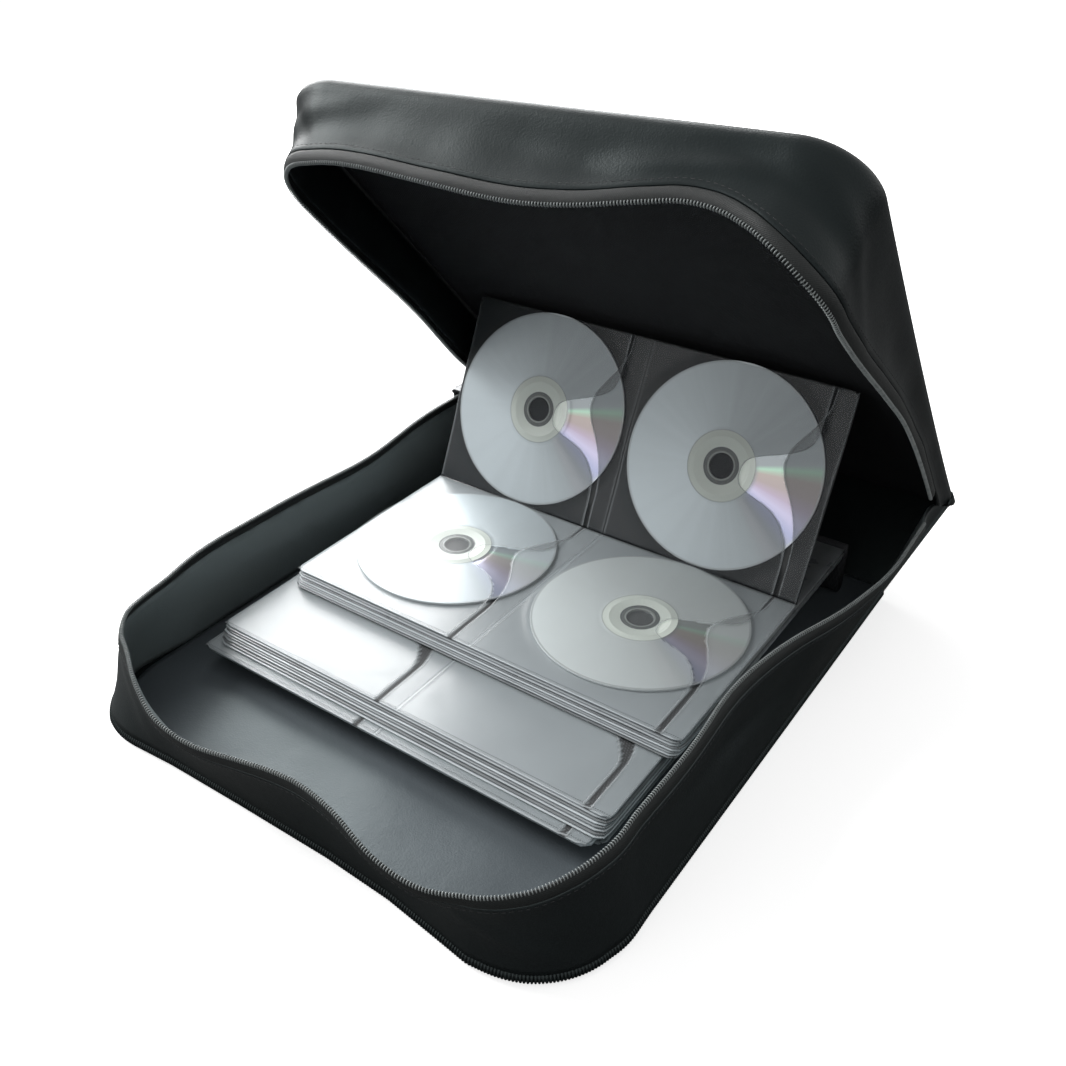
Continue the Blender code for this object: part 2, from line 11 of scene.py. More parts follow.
import bmesh
import bpy
import numpy as np
from mathutils import Euler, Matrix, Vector


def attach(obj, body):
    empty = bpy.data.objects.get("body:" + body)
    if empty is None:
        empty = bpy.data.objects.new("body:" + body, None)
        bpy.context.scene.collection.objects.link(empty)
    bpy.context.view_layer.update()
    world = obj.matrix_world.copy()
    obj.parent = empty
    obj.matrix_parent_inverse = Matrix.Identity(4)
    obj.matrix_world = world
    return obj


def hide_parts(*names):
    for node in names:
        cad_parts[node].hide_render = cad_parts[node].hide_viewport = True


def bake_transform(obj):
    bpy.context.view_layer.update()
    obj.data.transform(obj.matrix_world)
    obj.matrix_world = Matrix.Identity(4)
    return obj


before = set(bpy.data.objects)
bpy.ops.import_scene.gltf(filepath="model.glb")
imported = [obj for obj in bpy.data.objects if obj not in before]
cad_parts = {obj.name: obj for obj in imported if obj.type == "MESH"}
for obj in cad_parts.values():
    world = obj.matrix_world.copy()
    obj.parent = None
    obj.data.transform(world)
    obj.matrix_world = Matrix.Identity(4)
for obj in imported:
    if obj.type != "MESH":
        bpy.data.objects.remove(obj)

MM = 0.001
GAP = 0.4
WHITE = (1.0, 1.0, 1.0, 1.0)
LOG = logging.getLogger("disc_case")

Points = np.ndarray
Levels = Sequence[tuple[float, float]]
Turn = Callable[[Points], Points]
Color = tuple[float, float, float]
Spot = tuple[float, float, float]


class Body(Enum):
    """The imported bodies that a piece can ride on."""

    CASE = "case"
    LID = "lid"
    SLIDER = "slider"
    TAB = "tab"


class Slot(Enum):
    """The record's material slots."""

    LEATHERETTE = "leatherette"
    FLOOR_LINING = "floor_lining"
    LID_LINING = "lid_lining"
    ZIP_TAPE = "zip_tape"
    ZIP_COIL = "zip_coil"
    ZIP_METAL = "zip_metal"
    LEAF = "leaf"
    BINDING = "binding"
    FILM = "film"
    DISC = "disc"


# Shader graph


def add_node(tree: bpy.types.NodeTree, kind: str, settings: dict | None = None,
             values: dict | None = None) -> bpy.types.Node:
    """Add a node to a tree.

    Args:
        tree: The tree.
        kind: The node's type.
        settings: Its own settings, set first.
        values: Values or links for its inputs, by name or number.

    Returns:
        The node.
    """
    made = tree.nodes.new(kind)
    for key, value in (settings or {}).items():
        setattr(made, key, value)
    for key, value in (values or {}).items():
        if isinstance(value, bpy.types.NodeSocket):
            tree.links.new(value, made.inputs[key])
        else:
            made.inputs[key].default_value = value
    return made


class Num:
    """A number socket of a graph, on which Python's operators add Math nodes."""

    def __init__(self, graph: "Graph", socket: bpy.types.NodeSocket) -> None:
        """Keep the graph and the socket."""
        self.graph, self.socket = graph, socket

    def math(self, operation: str, *others: "Num | float", clamp: bool = False) -> "Num":
        """Add a Math node.

        Args:
            operation: The node's operation.
            others: Its further inputs.
            clamp: Whether the result is kept from 0 to 1.

        Returns:
            The node's result.
        """
        values = dict(enumerate((self, *others)))
        node = self.graph.node("ShaderNodeMath", {"operation": operation, "use_clamp": clamp}, values)
        return Num(self.graph, node.outputs[0])

    def __add__(self, other: "Num | float") -> "Num":
        """Add."""
        return self.math("ADD", other)

    __radd__ = __add__

    def __sub__(self, other: "Num | float") -> "Num":
        """Subtract."""
        return self.math("SUBTRACT", other)

    def __rsub__(self, other: float) -> "Num":
        """Subtract from a number."""
        return (self * -1.0) + other

    def __mul__(self, other: "Num | float") -> "Num":
        """Multiply."""
        return self.math("MULTIPLY", other)

    __rmul__ = __mul__

    def __truediv__(self, other: "Num | float") -> "Num":
        """Divide."""
        return self.math("DIVIDE", other)

    def __pow__(self, other: float) -> "Num":
        """Raise to a power."""
        return self.math("POWER", other)

    def __abs__(self) -> "Num":
        """Take the size without its sign."""
        return self.math("ABSOLUTE")

    def step(self, low: float, high: float) -> "Num":
        """Rise smoothly from 0 at low to 1 at high, or fall where low is the larger.

        Args:
            low: Value that gives 0.
            high: Value that gives 1.

        Returns:
            The eased share.
        """
        share = ((self - low) / (high - low)).math("ADD", 0.0, clamp=True)
        return share * share * (3.0 - share * 2.0)

    def near(self, value: float, reach: float) -> "Num":
        """Give 1 at a value and fall to 0 at reach from it."""
        return abs(self - value).step(reach, 0.0)


class Graph:
    """A material's node tree, from a texture coordinate to its output."""

    def __init__(self, name: str) -> None:
        """Make an empty material.

        Args:
            name: The material's name.
        """
        self.material = bpy.data.materials.new(name)
        self.material.use_nodes = True
        self.tree = self.material.node_tree
        self.tree.nodes.clear()

    def node(self, kind: str, settings: dict | None = None, values: dict | None = None) -> bpy.types.Node:
        """Add any node.

        Args:
            kind: The node's type.
            settings: Its own settings, set first.
            values: Values, numbers of the graph or links for its inputs, by name or number.

        Returns:
            The node.
        """
        plain = {key: value.socket if isinstance(value, Num) else value
                 for key, value in (values or {}).items()}
        return add_node(self.tree, kind, settings, plain)

    def num(self, node: bpy.types.Node, output: str | int = 0) -> Num:
        """Wrap a node's output."""
        return Num(self, node.outputs[output])

    def place(self) -> bpy.types.NodeSocket:
        """Object coordinates in metres."""
        return self.node("ShaderNodeTexCoord").outputs["Object"]

    def chart(self, name: str = "UVMap") -> tuple[Num, Num]:
        """The piece's own chart in metres, as two numbers."""
        uv = self.node("ShaderNodeUVMap", {"uv_map": name})
        parts = self.node("ShaderNodeSeparateXYZ", None, {0: uv.outputs[0]})
        return self.num(parts, 0), self.num(parts, 1)

    def value(self, name: str) -> Num:
        """A number that the mesh carries."""
        return self.num(self.node("ShaderNodeAttribute", {"attribute_name": name}), "Fac")

    def noise(self, where: bpy.types.NodeSocket, scale: float, detail: float = 3.0,
              rough: float = 0.5) -> Num:
        """Noise from 0 to 1."""
        values = {"Vector": where, "Scale": scale, "Detail": detail, "Roughness": rough}
        return self.num(self.node("ShaderNodeTexNoise", None, values))

    def cells(self, where: bpy.types.NodeSocket, scale: float) -> Num:
        """Distance to the points of a cell pattern."""
        return self.num(self.node("ShaderNodeTexVoronoi", None, {"Vector": where, "Scale": scale}))

    def weld(self, across: Num, along: Num) -> Num:
        """Stamped dots of the weld line that runs 2 mm inside a leaf's front edge."""
        dots = (across * (math.pi / (0.6 * MM))).math("SINE").step(-0.2, 0.3)
        return along.near(2.0 * MM, 0.55 * MM) * dots

    def blend(self, share: Num | float, first: object, second: object) -> bpy.types.NodeSocket:
        """Mix two colours."""
        def full(color: object) -> object:
            return (*color, 1.0) if isinstance(color, tuple) and len(color) == 3 else color
        values = {0: share, 6: full(first), 7: full(second)}
        return self.node("ShaderNodeMix", {"data_type": "RGBA", "clamp_factor": True}, values).outputs[2]

    def ramp(self, share: Num, stops: Sequence[tuple[float, Color]]) -> bpy.types.NodeSocket:
        """Colour for a share from 0 to 1, between stops of a share and a colour."""
        made = self.node("ShaderNodeValToRGB", None, {0: share})
        elements = made.color_ramp.elements
        while len(elements) < len(stops):
            elements.new(1.0)
        for element, (place, color) in zip(elements, stops):
            element.position, element.color = place, (*color, 1.0)
        return made.outputs[0]

    def bump(self, height: Num) -> bpy.types.NodeSocket:
        """Normal from a height in metres."""
        values = {"Height": height, "Distance": 1.0, "Strength": 1.0}
        return self.node("ShaderNodeBump", None, values).outputs[0]

    def surface(self, values: dict) -> bpy.types.Material:
        """Close the graph with a Principled shader.

        Args:
            values: Its inputs by name.

        Returns:
            The material.
        """
        shader = self.node("ShaderNodeBsdfPrincipled", None, values)
        self.node("ShaderNodeOutputMaterial", None, {"Surface": shader.outputs[0]})
        return self.material


# Finishes


@dataclass(frozen=True)
class Leatherette:
    """Coated cloth with a fine grain, soft creases and paler wear on its turned edges."""

    name: str
    color: Color = (0.0066, 0.0086, 0.0092)
    worn: Color = (0.028, 0.034, 0.036)
    # Colour of the inside face. The base's pale value is partly the lining's lighter tone and partly painted
    # highlight.
    inner: Color = (0.0066, 0.0086, 0.0092)
    roughness: float = 0.42
    gloss: float = 0.35
    grain: float = 0.9
    grain_depth: float = 0.05
    crease_depth: float = 0.35
    gathers: bool = False

    def material(self) -> bpy.types.Material:
        """Build the material."""
        g = Graph(self.name)
        where = g.place()
        cells = g.cells(where, 1000.0 / self.grain)
        cloud = g.noise(where, 28.0, 4.0, 0.55)
        slow = g.noise(where, 9.0, 2.0)
        height = cells * (self.grain_depth * MM) + cloud * (self.crease_depth * MM)
        height = height + g.noise(where, 620.0, 2.0) * (0.02 * MM)
        wear = g.value("wear") * g.noise(where, 60.0, 4.0).step(0.35, 0.75)
        if self.gathers:
            along, _ = g.chart("Edge")
            ribs = (along * (2 * math.pi / (1.5 * MM))).math("SINE")
            height = height + ribs * g.value("gather") * (0.16 * MM)
        color = g.blend(slow.step(0.3, 0.7), self.color, tuple(c * 1.3 for c in self.color))
        # The inside face takes its own colour; on the base it carries painted highlight as well as the lining's
        # tone.
        color = g.blend(g.value("inside"), color, self.inner)
        color = g.blend(wear * 0.5, color, self.worn)
        return g.surface({
            "Base Color": color,
            "Roughness": cells * 0.08 + cloud * 0.1 + (self.roughness - 0.09),
            "Normal": g.bump(height),
            "Specular IOR Level": self.gloss,
            "Specular Tint": (0.84, 1.0, 1.0, 1.0),
        })


@dataclass(frozen=True)
class WovenCloth:
    """Plain woven cloth: threads crossing in a fine check, with a little fluff."""

    name: str
    color: Color
    thread: float = 0.7
    depth: float = 0.07
    roughness: float = 0.8
    gloss: float = 0.3

    def material(self) -> bpy.types.Material:
        """Build the material."""
        g = Graph(self.name)
        where = g.place()
        across, along = g.chart()
        turns = math.pi / (self.thread * MM)
        check = (across * turns).math("SINE") * (along * turns).math("SINE")
        fluff = g.noise(where, 900.0, 2.0)
        cloud = g.noise(where, 22.0, 3.0)
        height = check * (self.depth * MM) + fluff * (0.05 * MM) + cloud * (0.5 * MM)
        shade = check.step(-1.0, 1.0) * 0.6 + fluff * 0.4
        color = g.blend(shade, self.color, tuple(c * 2.4 for c in self.color))
        return g.surface({
            "Base Color": color,
            "Roughness": fluff * 0.1 + (self.roughness - 0.05),
            "Normal": g.bump(height),
            "Specular IOR Level": self.gloss,
        })


@dataclass(frozen=True)
class FleeceBacking:
    """Bonded fleece: dark, stamped with a slanting weave of small pits, and pale where film covers it, painting
    the film's milky haze and its glare.
    """

    name: str
    film_haze_and_glare: Color
    dark: Color = (0.008, 0.009, 0.01)
    light: Color = (0.07, 0.075, 0.08)
    pitch: float = 1.1
    gloss: float = 0.5
    tilt: float = 0.0

    def material(self) -> bpy.types.Material:
        """Build the material."""
        g = Graph(self.name)
        where = g.place()
        across, along = g.chart()
        turns = math.pi / (self.pitch * MM)
        slant = ((across + along) * turns).math("SINE")
        cross = ((across - along) * (turns * 0.5)).math("SINE")
        pits = (slant * cross).step(0.1, 0.7)
        fluff = g.noise(where, 1100.0, 2.0)
        bare = g.value("bare")
        woven = g.blend(pits * 0.8 + fluff * 0.2, self.dark, self.light)
        cloud = g.noise(where, 14.0, 3.0)
        # Under the film the colour is pale: the film's haze and painted glare.
        clear = g.blend(cloud, tuple(c * 0.72 for c in self.film_haze_and_glare), tuple(c * 1.28 for c in self.film_haze_and_glare))
        return g.surface({
            "Base Color": g.blend(bare, clear, woven),
            "Roughness": bare * 0.55 + (fluff * 0.06 + 0.27),
            "Normal": g.bump(pits * bare * (0.07 * MM) + cloud * (0.5 * MM) + across * self.tilt),
            "Specular IOR Level": self.gloss,
        })


@dataclass(frozen=True)
class PocketFilm:
    """Clear soft film, a little milky, with stamped weld lines along its edges and a painted highlight on its
    cut edges.
    """

    name: str
    color: Color = (0.36, 0.39, 0.4)
    alpha: float = 0.13
    roughness: float = 0.25
    gloss: float = 0.5

    def material(self) -> bpy.types.Material:
        """Build the material."""
        g = Graph(self.name)
        where = g.place()
        across, along = g.chart()
        weld = g.weld(across, along)
        waves = g.noise(where, 22.0, 2.0)
        height = waves * (0.5 * MM) - weld * (0.1 * MM)
        # rim: painted highlight along the film's cut edges and sides.
        rim = g.value("rim")
        color = g.blend(weld * 0.8, self.color, (0.1, 0.11, 0.12))
        return g.surface({
            "Base Color": g.blend(rim * 0.7, color, (0.7, 0.75, 0.77)),
            "Roughness": g.noise(where, 60.0) * 0.08 + (self.roughness - 0.04),
            "Alpha": rim * 0.25 + (weld * 0.3 + self.alpha),
            "Normal": g.bump(height),
            "Specular IOR Level": self.gloss,
        })


@dataclass(frozen=True)
class LeafEdge:
    """Edges of the stacked leaves, where film and fleece show as pale and dark layers, darkened towards the
    back by painted shade.
    """

    name: str
    pale: Color = (0.66, 0.71, 0.74)
    dark: Color = (0.035, 0.039, 0.042)

    def material(self) -> bpy.types.Material:
        """Build the material."""
        g = Graph(self.name)
        where = g.place()
        across, along = g.chart()
        # Each leaf's own tone, with painted shade towards the back.
        tone = g.value("tone")
        streak = g.noise(where, 45.0, 4.0)
        weld = g.weld(across, along)
        share = tone * 0.85 + streak * 0.3 - weld * 0.5
        return g.surface({
            "Base Color": g.blend(share, self.dark, self.pale),
            "Roughness": streak * 0.2 + 0.2,
            "Normal": g.bump(streak * (0.2 * MM) - weld * (0.1 * MM)),
            "Coat Weight": 0.7,
            "Coat Roughness": 0.2,
        })


@dataclass(frozen=True)
class DiscFace:
    """Silver disc: frosted hub, stacking ring and mirror band, with a painted highlight by angle and a painted
    rainbow of diffracted light.
    """

    name: str
    silver: Color = (0.76, 0.85, 0.89)
    hub: Color = (0.86, 0.93, 0.86)
    shade: float = 0.42
    rainbow_glare: float = 0.6
    tilt: float = 0.0
    painted_rainbow: tuple[tuple[float, Color], ...] = (
        (0.0, (0.5, 0.4, 0.46)), (0.14, (0.3, 0.32, 0.35)), (0.3, (0.36, 0.38, 0.6)),
        (0.45, (0.56, 0.52, 0.74)), (0.58, (0.46, 0.36, 0.48)), (0.72, (0.4, 0.31, 0.3)),
        (0.88, (0.42, 0.34, 0.3)), (1.0, (0.4, 0.66, 0.48)))

    def material(self) -> bpy.types.Material:
        """Build the material."""
        g = Graph(self.name)
        across, along = g.chart()
        bare = g.value("bare")
        radius = (across * across + along * along) ** 0.5
        angle = along.math("ARCTAN2", across)
        hub = radius.step(20.9 * MM, 20.5 * MM)
        collar = radius.step(10.9 * MM, 10.6 * MM)
        # Dark lines: a painted shadow line at the hub's border and a dark line at the collar's edge.
        line = radius.near(20.7 * MM, 0.5 * MM) * 0.6 + radius.near(10.6 * MM, 0.6 * MM)
        lip = radius.step(8.7 * MM, 8.3 * MM)
        rim = radius.step(58.6 * MM, 58.9 * MM)
        # Wedge right of the hub where the painted rainbow of diffracted light shows.
        wide = angle.step(0.3, 0.2) * angle.step(-0.95, -0.5) * radius.step(19.0 * MM, 24.0 * MM)
        streak_sheen = g.noise(g.node("ShaderNodeCombineXYZ", None, {0: angle * 2.2}).outputs[0], 3.0, 4.0)
        painted_rainbow = g.ramp(angle + 0.78 + streak_sheen * 0.08 - 0.04, self.painted_rainbow)
        # Brighter on one side by angle, with radial streaks: painted highlight of the disc's tracks. shade sets
        # the painted dark side.
        lit = (angle + 2.6).math("COSINE") * 0.5 + 0.5
        low = tuple(c * self.shade for c in self.silver)
        color = g.blend(lit * 0.85 + streak_sheen * 0.3, low, self.silver)
        # Darker where no film covers it: painted reflection, as the film's glare is missing there.
        color = g.blend(bare * 0.8, color, tuple(c * 0.28 for c in self.silver))
        color = g.blend(wide * (bare * 0.15 + self.rainbow_glare), color, painted_rainbow)
        color = g.blend(hub, color, self.hub)
        color = g.blend(collar, color, (0.13, 0.145, 0.14))
        color = g.blend(lip * 0.8, color, (0.4, 0.43, 0.41))
        color = g.blend(line * 0.8, color, (0.08, 0.09, 0.1))
        color = g.blend(rim * 0.6, color, (0.4, 0.43, 0.44))
        return g.surface({
            "Base Color": color,
            "Metallic": (1.0 - hub) * (bare * 0.12 + 0.28),
            "Roughness": (1.0 - bare) * 0.25 + (streak_sheen * 0.04 + 0.2),
            "Coat Weight": bare * 0.3,
            "Coat Roughness": 0.05,
            "Normal": g.bump(across * self.tilt),
        })


@dataclass(frozen=True)
class Moulded:
    """Moulded plastic or coated metal with a fine unevenness."""

    name: str
    color: Color
    roughness: float = 0.3
    metallic: float = 0.0

    def material(self) -> bpy.types.Material:
        """Build the material."""
        g = Graph(self.name)
        where = g.place()
        cloud = g.noise(where, 220.0, 3.0)
        color = g.blend(cloud, self.color, tuple(min(1.0, c * 1.5) for c in self.color))
        return g.surface({
            "Base Color": color,
            "Roughness": cloud * 0.14 + (self.roughness - 0.07),
            "Metallic": self.metallic,
            "Normal": g.bump(cloud * (0.04 * MM)),
        })


@dataclass(frozen=True)
class StudioFloor:
    """Pale floor that reads as white paper and keeps the soft shadow."""

    name: str
    color: float = 0.8
    lift: float = 0.68
    dim: float = 0.12

    def material(self) -> bpy.types.Material:
        """Build the material."""
        g = Graph(self.name)
        paper = g.node("ShaderNodeBsdfDiffuse", None, {"Color": (self.color,) * 3 + (1.0,)})
        glow = g.node("ShaderNodeEmission", None, {"Color": WHITE, "Strength": self.lift})
        both = g.node("ShaderNodeAddShader", None, {0: paper.outputs[0], 1: glow.outputs[0]})
        calm = g.node("ShaderNodeBsdfDiffuse", None, {"Color": (self.dim,) * 3 + (1.0,)})
        seen = g.num(g.node("ShaderNodeLightPath"), "Is Camera Ray")
        mixed = g.node("ShaderNodeMixShader", None, {0: seen, 1: calm.outputs[0], 2: both.outputs[0]})
        g.node("ShaderNodeOutputMaterial", None, {"Surface": mixed.outputs[0]})
        return g.material


# Mesh helpers


def add_object(name: str, data: bpy.types.ID) -> bpy.types.Object:
    """Make an object in the scene from its data."""
    made = bpy.data.objects.new(name, data)
    bpy.context.scene.collection.objects.link(made)
    return made


def mesh_piece(name: str, points: Points, faces: list, material: bpy.types.Material,
               charts: dict[str, Points] | None = None,
               values: dict[str, Points] | None = None) -> bpy.types.Object:
    """Make a smooth mesh object from millimetre points.

    Args:
        name: The piece's name.
        points: Its points, one a row.
        faces: Its faces.
        material: Its finish.
        charts: Texture charts by name, one pair a point, in millimetres.
        values: Numbers by name, one a point.

    Returns:
        The object, at the origin.
    """
    mesh = bpy.data.meshes.new(name)
    mesh.from_pydata((np.asarray(points, float) * MM).tolist(), [], faces)
    corners = np.empty(len(mesh.loops), np.int32)
    mesh.loops.foreach_get("vertex_index", corners)
    for chart, pairs in (charts or {}).items():
        layer = mesh.uv_layers.new(name=chart)
        layer.data.foreach_set("uv", (np.asarray(pairs, float)[corners] * MM).ravel())
    for title, numbers in (values or {}).items():
        layer = mesh.attributes.new(title, "FLOAT", "POINT")
        layer.data.foreach_set("value", np.asarray(numbers, np.float32))
    mesh.materials.append(material)
    mesh.polygons.foreach_set("use_smooth", [True] * len(mesh.polygons))
    return add_object(name, mesh)


@contextmanager
def editing(mesh: bpy.types.Mesh) -> Iterator[bmesh.types.BMesh]:
    """Open a mesh for edits and write them back."""
    work = bmesh.new()
    work.from_mesh(mesh)
    yield work
    work.to_mesh(mesh)
    work.free()


def outward(made: bpy.types.Object) -> bpy.types.Object:
    """Turn a closed mesh's faces outwards."""
    with editing(made.data) as work:
        bmesh.ops.recalc_face_normals(work, faces=work.faces)
    return made


def loft_faces(rings: int, count: int, caps: bool = True) -> list:
    """Faces between closed rings of points.

    Args:
        rings: How many rings.
        count: Points in each.
        caps: Whether the first and last ring are filled.

    Returns:
        The faces.
    """
    faces = []
    for k in range(rings - 1):
        near, far = k * count, (k + 1) * count
        faces += [[near + i, near + (i + 1) % count, far + (i + 1) % count, far + i] for i in range(count)]
    if caps:
        faces.append(list(range(count)))
        faces.append([(rings - 1) * count + i for i in range(count)])
    return faces


def ripple(x: float | Points, y: float | Points, wave: float, seed: int) -> float | Points:
    """Smooth waves of about one length in all directions, from -1 to 1."""
    chance = np.random.default_rng(seed)
    total = 0.0
    for _ in range(5):
        turn = chance.uniform(0, 2 * math.pi)
        phase = chance.uniform(0, 2 * math.pi)
        size = chance.uniform(0.7, 1.6)
        step = 2 * math.pi * size / wave
        total = total + np.sin(step * (x * math.cos(turn) + y * math.sin(turn)) + phase)
    return total / 3.0


def ride(made: bpy.types.Object, body: Body, slot: Slot, *nodes: str) -> bpy.types.Object:
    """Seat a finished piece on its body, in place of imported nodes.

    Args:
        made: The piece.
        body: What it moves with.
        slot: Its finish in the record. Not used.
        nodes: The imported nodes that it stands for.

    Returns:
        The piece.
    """
    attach(made, body.value)
    if nodes:
        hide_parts(*nodes)
    LOG.info("piece %s rides on %s", made.name, body.value)
    return made


def one_side(made: bpy.types.Object) -> float:
    """Area of one side of a thin closed sheet, in square metres."""
    return sum(face.area for face in made.data.polygons) / 2


def cloth(made: bpy.types.Object, long: float) -> None:
    """Work out a sheet's cut width from its own surface and its cut length, from 10 mm up. The result is not
    kept.

    Args:
        made: The piece.
        long: Its cut length in millimetres.
    """
    area = one_side(made)
    wide = max(10.0 * MM, area / (long * MM))
    long * MM


# Outlines and gussets


@dataclass(frozen=True)
class Outline:
    """A tray's outline from its back left corner round the front to its back right one, in millimetres."""

    left: float
    right: float
    front: float
    back: float
    left_corner: float
    right_corner: float

    @property
    def parts(self) -> tuple[float, float, float, float, float]:
        """Lengths of the left side, left corner, front, right corner and right side."""
        deep = self.back - self.front
        return (deep - self.left_corner, math.pi / 2 * self.left_corner,
                self.right - self.left - self.left_corner - self.right_corner,
                math.pi / 2 * self.right_corner, deep - self.right_corner)

    @property
    def length(self) -> float:
        """The whole run."""
        return sum(self.parts)

    @property
    def middle(self) -> Points:
        """Its middle, as x and y."""
        return np.array([(self.left + self.right) / 2, (self.front + self.back) / 2])

    @property
    def half(self) -> Points:
        """Half its width and half its depth."""
        return np.array([(self.right - self.left) / 2, (self.back - self.front) / 2])

    def inset(self, by: float, back: float = 0.0) -> "Outline":
        """The same outline drawn in by a distance."""
        return Outline(self.left + by, self.right - by, self.front + by, self.back - back,
                       self.left_corner - by, self.right_corner - by)

    def at(self, s: float) -> tuple[float, float, float, float]:
        """Point and outward direction at a distance along.

        Args:
            s: The distance.

        Returns:
            x, y and the direction's x and y.
        """
        side_left, arc_left, across, arc_right, _ = self.parts
        if s < side_left:
            return self.left, self.back - s, -1.0, 0.0
        s -= side_left
        if s < arc_left:
            turn = math.pi + s / self.left_corner
            out_x, out_y = math.cos(turn), math.sin(turn)
            return (self.left + self.left_corner * (1 + out_x),
                    self.front + self.left_corner * (1 + out_y), out_x, out_y)
        s -= arc_left
        if s < across:
            return self.left + self.left_corner + s, self.front, 0.0, -1.0
        s -= across
        if s < arc_right:
            turn = 1.5 * math.pi + s / self.right_corner
            out_x, out_y = math.cos(turn), math.sin(turn)
            return (self.right + self.right_corner * (out_x - 1),
                    self.front + self.right_corner * (1 + out_y), out_x, out_y)
        s -= arc_right
        return self.right, self.front + self.right_corner + s, 1.0, 0.0

    def corner_share(self, s: float) -> float:
        """How much a place belongs to a rounded corner, from 0 to 1."""
        side_left, arc_left, across, arc_right, _ = self.parts
        middles = (side_left + arc_left / 2, side_left + arc_left + across + arc_right / 2)
        halves = (arc_left / 2, arc_right / 2)
        return max(max(0.0, 1.0 - (abs(s - m) / (h * 1.25)) ** 4) for m, h in zip(middles, halves))


@dataclass(frozen=True)
class Crease:
    """A soft ridge or valley in a gusset: from and to as (share of the path, height in mm)."""

    start: tuple[float, float]
    end: tuple[float, float]
    width: float
    depth: float


class Section(NamedTuple):
    """A wall's section at one place: point, outward direction, rim height, lean and foot height."""

    x: float
    y: float
    out_x: float
    out_y: float
    height: float
    lean: float
    foot: float


